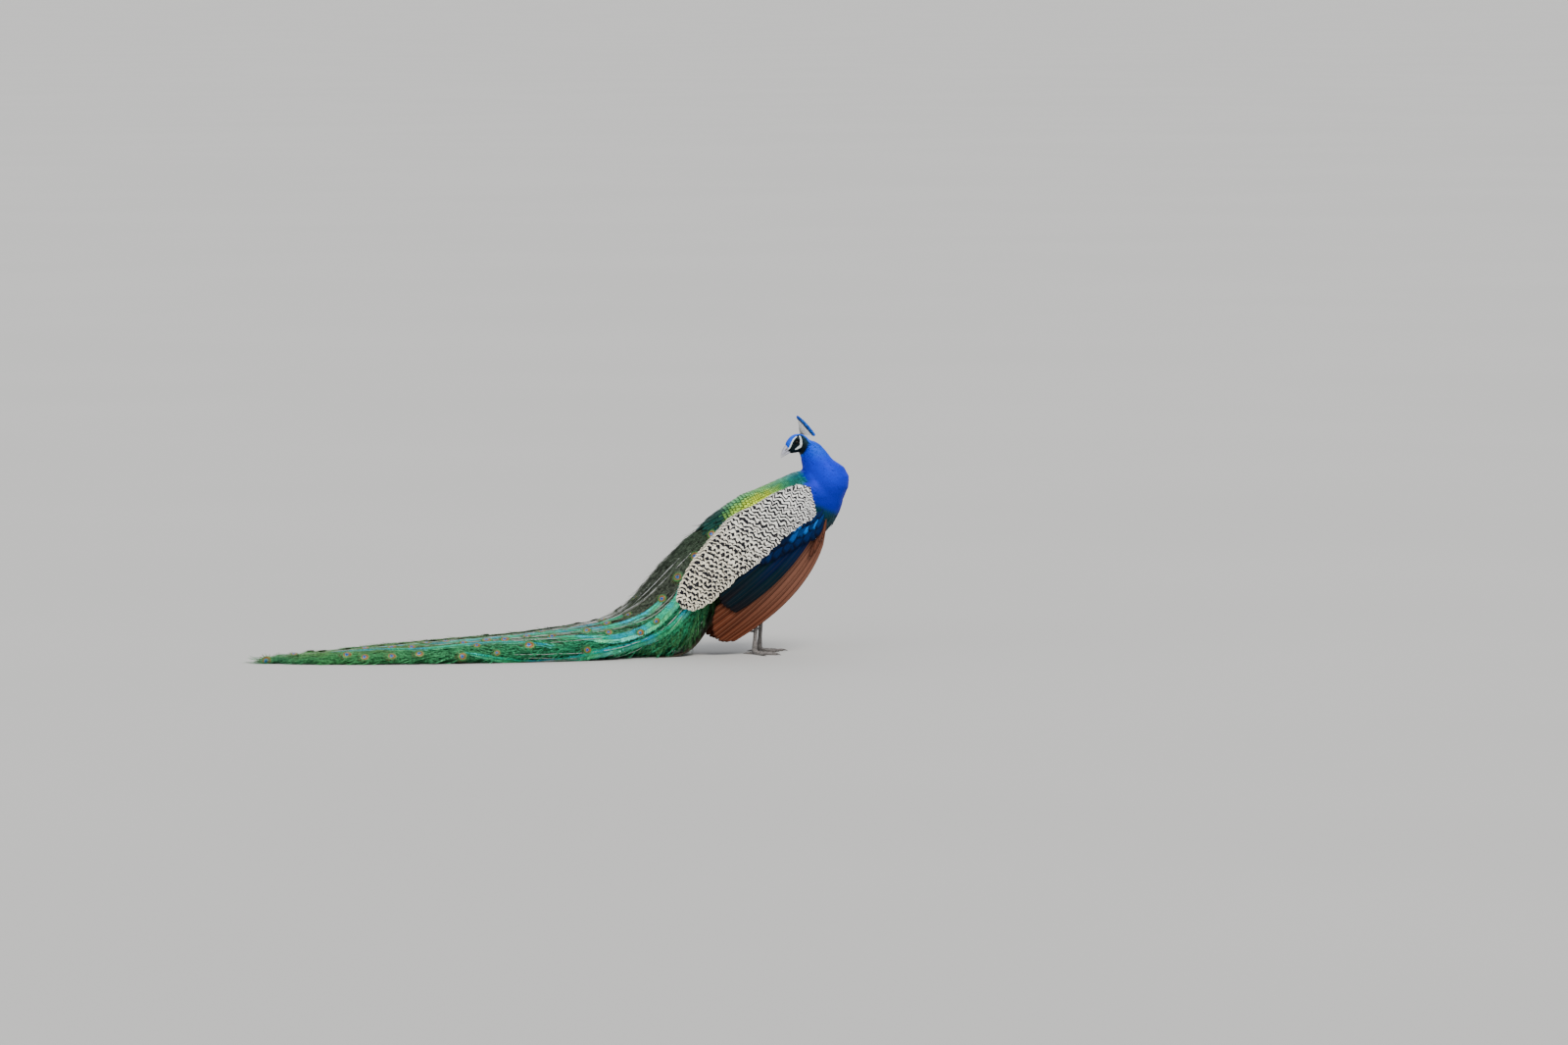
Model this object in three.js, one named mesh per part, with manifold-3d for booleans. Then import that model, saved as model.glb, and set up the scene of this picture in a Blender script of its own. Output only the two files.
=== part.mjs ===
// A life-size Indian peacock, standing at rest with its head turned back over its shoulder,
// its wings held loosely and its train sloping down behind it to lie along the floor.
// Millimetres, +Z up, the bird facing +X. It is built about the point on the floor between its
// feet, and the finished group is then shifted to the bottom centre of its own box.
// Each part of the body is a closed solid of its own, parted from the next by a small gap.

import * as THREE from "three";
import { mergeVertices } from "three/addons/utils/BufferGeometryUtils.js";
import Module from "manifold-3d";

const wasm = await Module();
wasm.setup();

// ---- Driving dimensions ----------------------------------------------------------------------

const GAP = 0.5; // space left between parts that meet
const TRUNK_HALF_WIDTH = 80;
const WING_HALF_SPAN = 101; // from the middle of the body to the outside of a folded wing
const TRAIN_HALF_WIDTH = 150; // at its widest, where it lies on the floor
const TRAIN_END_X = -1400;
const HEAD_CENTRE = [118, -4, 576];
const HEAD_PITCH = 25; // degrees that the bill points down
const HEAD_YAW = 186; // degrees from straight ahead, turned back by way of the right shoulder
const HEAD_ROLL = 8; // degrees that the crown leans to the right
const EYE_RADIUS = 5.2;
const CREST_FEATHERS = 14;
const CREST_BASE = [-19, 0, 23]; // from the middle of the head, forwards and up
const CREST_ROOT = 4; // radius of the tuft there
const PRIMARIES = 8;
const SECONDARIES = 6;
const TAIL_FEATHERS = 7;
const TRAIN_TIPS = 7;
const SHANK_RADIUS = 6;
const HOCK_Z = 138;
const ANKLE_Z = 15; // the joint above the toes
// The joint above each foot's toes, and the degrees that its middle toe points to the left.
const FEET = {
  right: { x: -9, y: -41, heading: -34 },
  left: { x: 22, y: 41, heading: -4 },
};

// ---- Small helpers ---------------------------------------------------------------------------

const SIDES = { right: -1, left: 1 };
const UP = new THREE.Vector3(0, 0, 1);
const vector = (x, y, z) => new THREE.Vector3(x, y, z);
const radians = THREE.MathUtils.degToRad;
const mix = THREE.MathUtils.lerp;
const eased = (t) => THREE.MathUtils.smoothstep(t, 0, 1);
const splineOf = (points) => new THREE.CatmullRomCurve3(points, false, "catmullrom", 0.5);

/** A closed surface through rings of points, with its two ends closed by fans. */
function ringLoft(rings) {
  const sides = rings[0].length;
  const points = rings.flat().flatMap((p) => p.toArray());
  const faces = [];
  for (let r = 0; r + 1 < rings.length; r++) {
    for (let k = 0; k < sides; k++) {
      const a = r * sides + k;
      const b = r * sides + ((k + 1) % sides);
      faces.push(a, b, b + sides, a, b + sides, a + sides);
    }
  }
  const last = rings.length - 1;
  for (const [ring, turned] of [[0, true], [last, false]]) {
    const middle = points.length / 3;
    const sum = rings[ring].reduce((s, p) => s.add(p), vector(0, 0, 0));
    points.push(...sum.divideScalar(sides).toArray());
    for (let k = 0; k < sides; k++) {
      const a = ring * sides + k;
      const b = ring * sides + ((k + 1) % sides);
      faces.push(middle, turned ? b : a, turned ? a : b);
    }
  }
  const geometry = new THREE.BufferGeometry();
  geometry.setAttribute("position", new THREE.Float32BufferAttribute(points, 3));
  geometry.setIndex(faces);
  return faceOutwards(geometry);
}

/** Turns a closed surface's faces round if they point inwards. */
function faceOutwards(geometry) {
  const at = geometry.getAttribute("position");
  const order = geometry.index.array;
  const corner = (i) => vector().fromBufferAttribute(at, order[i]);
  let volume = 0;
  for (let i = 0; i < order.length; i += 3) {
    volume += corner(i).dot(corner(i + 1).cross(corner(i + 2)));
  }
  if (volume < 0) {
    for (let i = 0; i < order.length; i += 3) {
      [order[i + 1], order[i + 2]] = [order[i + 2], order[i + 1]];
    }
  }
  return geometry;
}

/** A closed sheet between two grids of points, `outer` and `inner`, each a list of rows. */
function sheet(outer, inner) {
  const [rows, columns] = [outer.length, outer[0].length];
  const at = (r, c, under) => r * columns + c + (under ? rows * columns : 0);
  const quad = (a, b, c, d) => faces.push(a, b, c, a, c, d);
  const faces = [];
  for (let r = 0; r + 1 < rows; r++) {
    for (let c = 0; c + 1 < columns; c++) {
      quad(at(r, c), at(r, c + 1), at(r + 1, c + 1), at(r + 1, c));
      quad(at(r, c, 1), at(r + 1, c, 1), at(r + 1, c + 1, 1), at(r, c + 1, 1));
    }
    quad(at(r, 0), at(r + 1, 0), at(r + 1, 0, 1), at(r, 0, 1));
    quad(at(r + 1, columns - 1), at(r, columns - 1), at(r, columns - 1, 1), at(r + 1, columns - 1, 1));
  }
  for (let c = 0; c + 1 < columns; c++) {
    quad(at(0, c + 1), at(0, c), at(0, c, 1), at(0, c + 1, 1));
    quad(at(rows - 1, c), at(rows - 1, c + 1), at(rows - 1, c + 1, 1), at(rows - 1, c, 1));
  }
  const points = [...outer, ...inner].flat().flatMap((p) => p.toArray());
  const geometry = new THREE.BufferGeometry();
  geometry.setAttribute("position", new THREE.Float32BufferAttribute(points, 3));
  geometry.setIndex(faces);
  return solidOf(faceOutwards(geometry));
}

/** A closed three.js surface as a solid that can be joined and cut. */
function solidOf(geometry, matrix = new THREE.Matrix4()) {
  const bare = geometry.index ? geometry.toNonIndexed() : geometry.clone();
  bare.deleteAttribute("normal");
  bare.deleteAttribute("uv");
  const merged = mergeVertices(bare.applyMatrix4(matrix), 1e-3);
  return new wasm.Manifold(
    new wasm.Mesh({
      numProp: 3,
      vertProperties: merged.getAttribute("position").array,
      triVerts: new Uint32Array(merged.index.array),
    }),
  );
}

/** The largest body of a solid, as three.js geometry. */
function geometryOf(solid) {
  const bodies = solid.decompose().sort((a, b) => b.volume() - a.volume());
  const mesh = bodies[0].getMesh();
  const geometry = new THREE.BufferGeometry();
  const positions = new Float32Array(mesh.numVert * 3);
  for (let i = 0; i < mesh.numVert; i++) {
    const from = i * mesh.numProp;
    positions.set(mesh.vertProperties.subarray(from, from + 3), i * 3);
  }
  geometry.setAttribute("position", new THREE.BufferAttribute(positions, 3));
  geometry.setIndex(new THREE.BufferAttribute(mesh.triVerts.slice(), 1));
  return geometry;
}

const joined = (solids) => solids.reduce((all, next) => all.add(next));

/** A block as large as the bird, with one face through a point and lying beyond it along a normal. */
function halfSpace(point, normal) {
  const size = 4000;
  const block = new THREE.BoxGeometry(size, size, size).translate(0, 0, size / 2);
  const turn = new THREE.Quaternion().setFromUnitVectors(UP, normal.clone().normalize());
  return solidOf(block, new THREE.Matrix4().compose(point, turn, vector(1, 1, 1)));
}

/** The two sides of a solid parted by a thin cut: [behind the plane, ahead of it]. */
function parted(solid, point, normal) {
  const ahead = normal.clone().normalize();
  const back = ahead.clone().negate();
  const half = GAP / 2;
  return [
    solid.subtract(halfSpace(point.clone().addScaledVector(ahead, -half), ahead)),
    solid.subtract(halfSpace(point.clone().addScaledVector(back, -half), back)),
  ];
}

const belowFloor = halfSpace(vector(0, 0, 0), UP.clone().negate());

// ---- Bodies of flesh, from their outline in side view -------------------------------------------

/**
 * A rounded body from a few stations, each with a point on the upper and on the lower outline,
 * half its width across the bird, and how square its section is (2 is an ellipse).
 */
function outlineLoft(stations, { steps, sides, grow = 0 }) {
  const tops = splineOf(stations.map((s) => vector(s.top[0], s.y ?? 0, s.top[1])));
  const bottoms = splineOf(stations.map((s) => vector(s.bottom[0], s.y ?? 0, s.bottom[1])));
  const widths = splineOf(stations.map((s) => vector(s.half, s.square ?? 2, 0)));
  const rings = [];
  for (let i = 0; i <= steps; i++) {
    const t = i / steps;
    const top = tops.getPoint(t);
    const bottom = bottoms.getPoint(t);
    const { x: half, y: square } = widths.getPoint(t);
    const middle = top.clone().lerp(bottom, 0.5);
    const upright = top.clone().sub(middle);
    const up = upright.clone().normalize();
    const tall = upright.length() + grow;
    const wide = Math.max(half, 1) + grow;
    const ring = [];
    for (let k = 0; k < sides; k++) {
      const angle = (2 * Math.PI * k) / sides;
      const rise = Math.sign(Math.cos(angle)) * Math.abs(Math.cos(angle)) ** (2 / square);
      const out = Math.sign(Math.sin(angle)) * Math.abs(Math.sin(angle)) ** (2 / square);
      ring.push(middle.clone().addScaledVector(up, tall * rise).add(vector(0, wide * out, 0)));
    }
    rings.push(ring);
  }
  return ringLoft(rings);
}

const TRUNK = [
  { top: [-190, 294], bottom: [-176, 262], half: 14 },
  { top: [-158, 340], bottom: [-122, 240], half: 42 },
  { top: [-106, 394], bottom: [-62, 238], half: 0.8 * TRUNK_HALF_WIDTH },
  { top: [-46, 436], bottom: [0, 256], half: 0.96 * TRUNK_HALF_WIDTH },
  { top: [18, 461], bottom: [66, 276], half: TRUNK_HALF_WIDTH },
  { top: [76, 486], bottom: [128, 296], half: 0.97 * TRUNK_HALF_WIDTH },
  { top: [124, 504], bottom: [186, 320], half: 0.88 * TRUNK_HALF_WIDTH },
  { top: [178, 500], bottom: [223, 357], half: 0.72 * TRUNK_HALF_WIDTH },
  { top: [224, 482], bottom: [245, 399], half: 0.5 * TRUNK_HALF_WIDTH },
  { top: [251, 452], bottom: [252, 434], half: 10 },
];

const NECK = [
  { top: [146, 438], bottom: [238, 400], half: 52 },
  { top: [141, 472], bottom: [258, 438], half: 58 },
  { top: [136, 493], bottom: [267, 476], half: 57 },
  { top: [132, 512], bottom: [254, 509], half: 51 },
  { top: [128, 533], bottom: [215, 537], half: 42, y: -1 },
  { top: [125, 549], bottom: [194, 566], half: 34, y: -3 },
  { top: [123, 560], bottom: [170, 584], half: 29, y: -4 },
  { top: [122, 568], bottom: [148, 588], half: 20, y: -4 },
];

const TRAIN_SLOPE = [
  { top: [-64, 424], bottom: [-10, 300], half: 52 },
  { top: [-114, 391], bottom: [-56, 240], half: 58 },
  { top: [-172, 339], bottom: [-98, 172], half: 64 },
  { top: [-226, 291], bottom: [-134, 104], half: 71 },
  { top: [-282, 233], bottom: [-176, 42], half: 84 },
  { top: [-336, 166], bottom: [-240, 8], half: 102 },
  { top: [-394, 116], bottom: [-338, 4], half: 118 },
  { top: [-476, 88], bottom: [-452, -12], half: 0.93 * TRAIN_HALF_WIDTH, square: 2.3 },
];

/** The train's stations: down its slope from the rump, then along the floor to its tip. */
function trainStations() {
  const from = TRAIN_SLOPE.at(-1).top[0];
  const lying = [0.2, 0.42, 0.62, 0.79, 0.91, 0.98, 1].map((t) => {
    const x = mix(from, TRAIN_END_X + 40, t);
    const narrowing = Math.max(0, (t - 0.28) / 0.72) ** 1.8;
    const half = Math.max(12, TRAIN_HALF_WIDTH * Math.sqrt(1 - narrowing));
    const height = mix(80, 14, t ** 0.9);
    return { top: [x, height], bottom: [x + 6, t < 1 ? -14 : 2], half, square: 2.3 };
  });
  return [...TRAIN_SLOPE, ...lying];
}

// ---- Wings: a curved sheet, measured along the wing from its shoulder and across it ------------

const WING_ORIGIN = [170, 426]; // the shoulder, in side view
const WING_ALONG = [-0.8075, -0.5899]; // towards the wing's tip
const WING_ACROSS = [0.5899, -0.8075]; // towards its lower edge

/** How far the outside of a folded wing stands from the middle of the body. */
function wingReach(along, across) {
  const shoulder = mix(0.72, 1, eased((along + 30) / 110));
  const taper = 1 - 0.12 * eased((along - 180) / 320);
  const overBack = Math.max(0, (30 - across) / 184);
  const underneath = 0.0003 * Math.max(0, across - 30) ** 2;
  return WING_HALF_SPAN * shoulder * taper * Math.sqrt(1 - overBack ** 2) - underneath;
}

/** The point at a place on a wing's sheet, sunk below it by a depth. */
function wingPoint(side, along, across, depth) {
  return vector(
    WING_ORIGIN[0] + along * WING_ALONG[0] + across * WING_ACROSS[0],
    side * (wingReach(along, across) - depth),
    WING_ORIGIN[1] + along * WING_ALONG[1] + across * WING_ACROSS[1],
  );
}

/** The barred shield of shoulder feathers: its upper and lower edge at each place along it. */
const SHIELD_EDGES = [
  [6, -46, -36],
  [16, -62, -14],
  [38, -76, 24],
  [90, -90, 15],
  [150, -97, 13],
  [215, -109, 22],
  [270, -101, 25],
  [340, -87, 26],
  [400, -66, 34],
  [445, -43, 31],
  [472, -26, 17],
  [482, -12, -2],
];

function shieldSolid(side, grow = 0) {
  const edges = splineOf(SHIELD_EDGES.map(([along, upper, lower]) => vector(along, upper, lower)));
  const steps = 14;
  const cells = 4;
  const rings = [];
  for (let i = 0; i <= steps; i++) {
    const { x: along, y: upper, z: lower } = edges.getPoint(i / steps);
    const ring = [];
    for (let k = 0; k <= cells; k++) {
      ring.push(wingPoint(side, along, mix(upper - grow, lower + grow, k / cells), -grow));
    }
    for (let k = cells; k >= 0; k--) {
      const across = mix(upper - grow, lower + grow, k / cells);
      const deep = mix(22, 8.6, eased((across + 34) / 40));
      ring.push(wingPoint(side, along, across, deep + grow));
    }
    rings.push(ring);
  }
  return solidOf(ringLoft(rings));
}

/** A long flat feather along a curve, whose half width is a share of its greatest. */
function feather(centre, sideways, { half, thick, steps, tip = 0.3, root = 0.45 }) {
  const rings = [];
  for (let i = 0; i <= steps; i++) {
    const t = i / steps;
    const width = half * (t < 0.5 ? mix(root, 1, eased(t * 2)) : mix(1, tip, (t * 2 - 1) ** 3));
    const at = centre(t);
    const aside = sideways(t).multiplyScalar(width);
    const through = thick(t);
    rings.push([
      at.clone().add(aside),
      at.clone().addScaledVector(through, 0.4),
      at.clone().sub(aside),
      at.clone().addScaledVector(through, -0.6),
    ]);
  }
  return solidOf(ringLoft(rings));
}

/**
 * A fan of long feathers as one pleated sheet. Each feather runs from its root by its bend to its
 * tip, and lies a step under the one before. `place` sets a point of the fan, sunk by a depth.
 */
function pleatedFan(place, { count, roots, bends, tips, columns, depth, step, thickness }) {
  const [rootLine, bendLine, tipLine] = [roots, bends, tips].map((line) =>
    splineOf(line.map(([along, across]) => vector(along, across, 0))),
  );
  const outer = [];
  const inner = [];
  for (let i = 0; i < count; i++) {
    for (const [across, reach] of [[0, 0.972], [0.5, 1], [1, 0.984]]) {
      const share = (i + across) / count;
      const path = new THREE.QuadraticBezierCurve3(
        rootLine.getPoint(share),
        bendLine.getPoint(share),
        tipLine.getPoint(share),
      );
      const sunk = depth + step * (i + 0.3 * across);
      const points = [...Array(columns + 1).keys()].map((k) => path.getPoint((reach * k) / columns));
      outer.push(points.map((p) => place(p.x, p.y, sunk)));
      inner.push(points.map((p) => place(p.x, p.y, sunk + thickness)));
    }
  }
  return sheet(outer, inner);
}

const SECONDARY_FAN = {
  count: SECONDARIES,
  roots: [[92, 14], [50, 26], [37, 49]],
  bends: [[240, 16], [222, 66], [205, 128]],
  tips: [[384, 28], [392, 66], [376, 108]],
  columns: 4,
  depth: 10.8,
  step: 0.8,
  thickness: 1.6,
};

const PRIMARY_FAN = {
  count: PRIMARIES,
  roots: [[66, 50], [44, 62], [30, 76]],
  bends: [[240, 62], [222, 130], [166, 202]],
  tips: [[418, 62], [452, 96], [460, 132], [428, 172]],
  columns: 5,
  depth: 21.6,
  step: 1,
  thickness: 1.6,
};

const wingFan = (side, fan) =>
  pleatedFan((along, across, depth) => wingPoint(side, along, across, depth), fan);

// ---- Head, in its own frame: +X to the bill, +Y to the bird's left, +Z to the crown ------------

const headGroup = new THREE.Group();
headGroup.position.set(...HEAD_CENTRE);
headGroup.rotation.set(radians(HEAD_ROLL), radians(HEAD_PITCH), radians(HEAD_YAW), "ZYX");
headGroup.updateMatrixWorld(true);

const HEAD = [
  { top: [35, 8.5], bottom: [34, -12], half: 6.5 },
  { top: [31, 14], bottom: [30, -15.5], half: 9.5 },
  { top: [24, 20], bottom: [24, -18], half: 13 },
  { top: [12, 25.5], bottom: [12, -22], half: 16.5 },
  { top: [0, 27.8], bottom: [0, -24.5], half: 18.5 },
  { top: [-13, 25], bottom: [-11, -25], half: 19 },
  { top: [-24, 18], bottom: [-20, -23], half: 17.5 },
  { top: [-32, 8], bottom: [-27, -17], half: 13 },
  { top: [-35, 0], bottom: [-33, -7], half: 5 },
];

const EYE_PLACE = [3, 13.7, 4.8]; // the left eye's centre

const UPPER_BILL = [
  { top: [29, 11.5], bottom: [29, -6.6], half: 6.6 },
  { top: [37, 8], bottom: [37, -7.6], half: 6 },
  { top: [46, 1.8], bottom: [45.5, -9.4], half: 4.7 },
  { top: [54, -6], bottom: [51.5, -12.2], half: 2.7 },
  { top: [58.5, -14.4], bottom: [57, -15.8], half: 0.8 },
];

const LOWER_BILL = [
  { top: [29, -7.2], bottom: [29, -13.8], half: 5.6 },
  { top: [37, -8.2], bottom: [37, -14], half: 5 },
  { top: [45, -10.1], bottom: [45, -14.4], half: 3.7 },
  { top: [51.5, -12.9], bottom: [52, -15.4], half: 1.8 },
  { top: [53.8, -14.6], bottom: [54.2, -15.6], half: 0.8 },
];

function headSolids() {
  const local = (stations, steps, sides, grow) =>
    solidOf(outlineLoft(stations, { steps, sides, grow }));
  const eyes = { left: 1, right: -1 };
  const [eyeX, eyeY, eyeZ] = EYE_PLACE;
  const eye = (side, radius) =>
    solidOf(new THREE.SphereGeometry(radius, 8, 6).translate(eyeX, side * eyeY, eyeZ));
  const beaks = local(UPPER_BILL, 6, 8, GAP).add(local(LOWER_BILL, 6, 8, GAP));
  const sockets = eye(1, EYE_RADIUS + GAP).add(eye(-1, EYE_RADIUS + GAP));
  const skull = local(HEAD, 11, 14, 0);
  const root = new THREE.SphereGeometry(CREST_ROOT + GAP, 6, 5).translate(...CREST_BASE);
  const made = {
    head: skull.subtract(beaks).subtract(sockets).subtract(solidOf(root)),
    bill_upper: local(UPPER_BILL, 6, 8, 0),
    bill_lower: local(LOWER_BILL, 6, 8, 0).subtract(local(UPPER_BILL, 6, 8, GAP)),
    crest: crestSolid(),
  };
  for (const [name, side] of Object.entries(eyes)) made[`eye_${name}`] = eye(side, EYE_RADIUS);
  return made;
}

/** A fan of bare quills with a small paddle on each, and the tuft that they grow from. */
function crestSolid(grow = 0) {
  const base = vector(...CREST_BASE);
  const fan = [radians(117), radians(212)];
  const tuft = new THREE.SphereGeometry(CREST_ROOT + grow, 6, 4).translate(...base.toArray());
  const parts = [solidOf(tuft)];
  for (let i = 0; i < CREST_FEATHERS; i++) {
    const share = i / (CREST_FEATHERS - 1);
    const angle = mix(fan[0], fan[1], share);
    const lean = 0.06 * Math.sin(i * 2.4);
    const along = vector(Math.cos(angle), lean, Math.sin(angle)).normalize();
    const beside = vector(-Math.sin(angle), 0, Math.cos(angle));
    const across = along.clone().cross(beside);
    const length = 37 + 32 * (share - 0.5) ** 2;
    const ring = (at, wide, thick) =>
      [[1, -0.5], [0, 1], [-1, -0.5]].map(([w, t]) =>
        base
          .clone()
          .addScaledVector(along, at)
          .addScaledVector(beside, w * (wide + grow))
          .addScaledVector(across, t * (thick + grow)),
      );
    const rings = [
      ring(2, 0.7, 0.7),
      ring(length - 11, 0.7, 0.7),
      ring(length - 4, 2.7, 1),
      ring(length, 1.6, 0.7),
    ];
    parts.push(solidOf(ringLoft(rings)));
  }
  return joined(parts);
}

// ---- Legs --------------------------------------------------------------------------------------

/** A straight or bent limb through points with a radius at each. */
function limb(points, sides, steps, grow = 0) {
  const path = splineOf(points.map(({ at }) => vector(...at)));
  const radii = splineOf(points.map(({ radius }) => vector(radius, 0, 0)));
  const rings = [];
  for (let i = 0; i <= steps; i++) {
    const t = i / steps;
    const run = path.getTangent(t);
    const middle = path.getPoint(t);
    const aside = vector(0, 1, 0).cross(run).normalize();
    const other = run.clone().cross(aside);
    const radius = radii.getPoint(t).x + grow;
    const ring = [];
    for (let k = 0; k < sides; k++) {
      const angle = (2 * Math.PI * k) / sides;
      ring.push(
        middle
          .clone()
          .addScaledVector(aside, radius * Math.cos(angle))
          .addScaledVector(other, radius * Math.sin(angle)),
      );
    }
    rings.push(ring);
  }
  return solidOf(ringLoft(rings));
}

/** One toe and its claw, from the joint above the toes, lying on the floor. */
function toe(length, thickness, heading) {
  const knuckles = 4;
  const rings = [];
  const sides = 6;
  const claw = 13;
  const spread = vector(Math.cos(heading), Math.sin(heading), 0);
  const beside = vector(-Math.sin(heading), Math.cos(heading), 0);
  const section = (reach, radius, height) => {
    const ring = [];
    for (let k = 0; k < sides; k++) {
      const angle = (2 * Math.PI * k) / sides;
      ring.push(
        spread
          .clone()
          .multiplyScalar(reach)
          .addScaledVector(beside, radius * Math.cos(angle))
          .addScaledVector(UP, Math.max(0, height + radius * Math.sin(angle))),
      );
    }
    return ring;
  };
  rings.push(section(0, thickness * 0.8, ANKLE_Z - thickness));
  for (let i = 1; i <= knuckles; i++) {
    const t = i / knuckles;
    const radius = thickness * mix(1, 0.72, t) * (1 + 0.07 * Math.cos(Math.PI * i));
    rings.push(section(length * mix(0.16, 1, t), radius, radius * 0.8));
  }
  rings.push(section(length + claw * 0.45, thickness * 0.36, thickness * 0.62));
  rings.push(section(length + claw, thickness * 0.1, thickness * 0.16));
  return solidOf(ringLoft(rings));
}

/** The thigh, shank and foot of one side, in place. */
function legSolids(name, trunkGrown) {
  const side = SIDES[name];
  const { x, y, heading } = FEET[name];
  const hock = [x + 8, y, HOCK_Z];
  const hip = [x * 0.4 + 82, side * 36, 308];
  const along = (from, to, t) => from.map((v, k) => mix(v, to[k], t));
  const ankle = [x, y, ANKLE_Z];
  const thighPoints = [
    { at: hip, radius: 27 },
    { at: [...along(hip, hock, 0.4).slice(0, 2), 246], radius: 32 },
    { at: [...along(hip, hock, 0.8).slice(0, 2), 178], radius: 18 },
    { at: [hock[0] + 3, y, HOCK_Z + 12], radius: 9.5 },
    { at: [hock[0] + 1, y, HOCK_Z + 4], radius: 8 },
  ];
  const shankPoints = [
    { at: [hock[0] + 2, y, HOCK_Z + 14], radius: SHANK_RADIUS },
    { at: hock, radius: SHANK_RADIUS * 1.2 },
    { at: along(hock, ankle, 0.25), radius: SHANK_RADIUS },
    { at: along(hock, ankle, 0.75), radius: SHANK_RADIUS * 0.95 },
    { at: [x, y, ANKLE_Z - 1], radius: SHANK_RADIUS * 1.3 },
  ];
  const spurRoot = along(hock, ankle, 0.6);
  const spur = limb(
    [
      { at: spurRoot, radius: 4 },
      { at: [spurRoot[0] - 14, y - side * 6, spurRoot[2] - 1], radius: 2.4 },
      { at: [spurRoot[0] - 24, y - side * 9, spurRoot[2] + 4], radius: 0.5 },
    ],
    6,
    3,
  );
  const toes = [
    [66, 5.2, 0],
    [50, 4.7, 36],
    [52, 4.7, -38],
    [22, 4, 176],
  ].map(([length, thickness, turn]) => toe(length, thickness, radians(heading + turn)));
  const knob = new THREE.SphereGeometry(SHANK_RADIUS * 1.3, 6, 5).translate(0, 0, ANKLE_Z - 6.8);
  const foot = joined([...toes, solidOf(knob)]);
  const grounded = solidOf(geometryOf(foot), new THREE.Matrix4().makeTranslation(x, y, 0));
  const shank = limb(shankPoints, 8, 6).add(spur).subtract(limb(thighPoints, 12, 8, GAP));
  return {
    [`thigh_${name}`]: limb(thighPoints, 12, 8).subtract(trunkGrown),
    [`shank_${name}`]: parted(shank, vector(x, y, ANKLE_Z), UP)[1],
    [`foot_${name}`]: parted(grounded.subtract(belowFloor), vector(x, y, ANKLE_Z), UP)[0],
  };
}

// ---- Tail: stiff feathers under the train --------------------------------------------------------

function tailSolid() {
  const line = [[-58, 218], [-98, 148], [-135, 80], [-180, 26], [-236, 3.6], [-330, 2.6]];
  const spine = splineOf(line.map(([x, z]) => vector(x, 0, z)));
  const place = (along, across, depth) => {
    const run = spine.getTangent(along);
    return spine.getPoint(along).add(vector(-depth * run.z, across, depth * run.x));
  };
  const straight = (along, reach) => [[along, -reach], [along, 0], [along, reach]];
  return pleatedFan(place, {
    count: TAIL_FEATHERS,
    roots: straight(0, 16),
    bends: straight(0.5, 48),
    tips: [[0.9, -84], [0.98, -44], [1, 0], [0.98, 44], [0.9, 84]],
    columns: 6,
    depth: 0,
    step: 0,
    thickness: 1.6,
  });
}

/** The loose tips of the train's longest feathers, spread a little on the floor. */
function trainTips() {
  const tips = [];
  for (let i = 0; i < TRAIN_TIPS; i++) {
    const share = (i / (TRAIN_TIPS - 1)) * 2 - 1;
    const end = TRAIN_END_X + 190 * Math.abs(share) ** 1.6 + 14 * (i % 2);
    const line = [
      vector(end + 260, share * 60, 15),
      vector(end + 110, share * 78, 9),
      vector(end, share * 86, 4.4),
    ];
    const path = splineOf(line);
    const sideways = () => vector(0, 1, 0);
    const thick = (t) => vector(0, 0, mix(14, 3.4, t));
    const centre = (t) => path.getPoint(t);
    tips.push(feather(centre, sideways, { half: 21, thick, steps: 4, tip: 0.25 }));
  }
  return joined(tips);
}

// ---- Putting the bird together -------------------------------------------------------------------

const FINISH = {
  blue: { color: 0x0b3fd8, roughness: 0.45, metalness: 0.3 },
  bronzeGreen: { color: 0x3b7a2c, roughness: 0.5, metalness: 0.3 },
  trainGreen: { color: 0x27502a, roughness: 0.6, metalness: 0.2 },
  barred: { color: 0xb9b19c, roughness: 0.8, metalness: 0 },
  blueBlack: { color: 0x081a2b, roughness: 0.5, metalness: 0.2 },
  rufous: { color: 0x7a3212, roughness: 0.7, metalness: 0 },
  tailBrown: { color: 0x1c1712, roughness: 0.7, metalness: 0 },
  horn: { color: 0x9c9790, roughness: 0.5, metalness: 0 },
  leg: { color: 0x86807c, roughness: 0.6, metalness: 0 },
  eye: { color: 0x120a06, roughness: 0.1, metalness: 0 },
};

const FINISH_OF = {
  breast: "blue",
  trunk: "bronzeGreen",
  neck_upper: "blue",
  neck_lower: "blue",
  head: "blue",
  crest: "blue",
  bill_upper: "horn",
  bill_lower: "horn",
  eye_left: "eye",
  eye_right: "eye",
  tail_fan: "tailBrown",
  train_base: "trainGreen",
  train_middle: "trainGreen",
  train_end: "trainGreen",
};

function pieceOf(name, solid) {
  const limbFinish = {
    wing: name.endsWith("shield") ? "barred" : name.endsWith("primaries") ? "rufous" : "blueBlack",
    thigh: "tailBrown",
    shank: "leg",
    foot: "leg",
  };
  const finish = FINISH[FINISH_OF[name] ?? limbFinish[name.split("_")[0]]];
  const mesh = new THREE.Mesh(geometryOf(solid), new THREE.MeshStandardMaterial(finish));
  mesh.geometry.computeVertexNormals();
  mesh.name = name;
  return mesh;
}

const bird = new THREE.Group();

const heads = headSolids();
for (const [name, solid] of Object.entries(heads)) headGroup.add(pieceOf(name, solid));
bird.add(headGroup);

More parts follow.
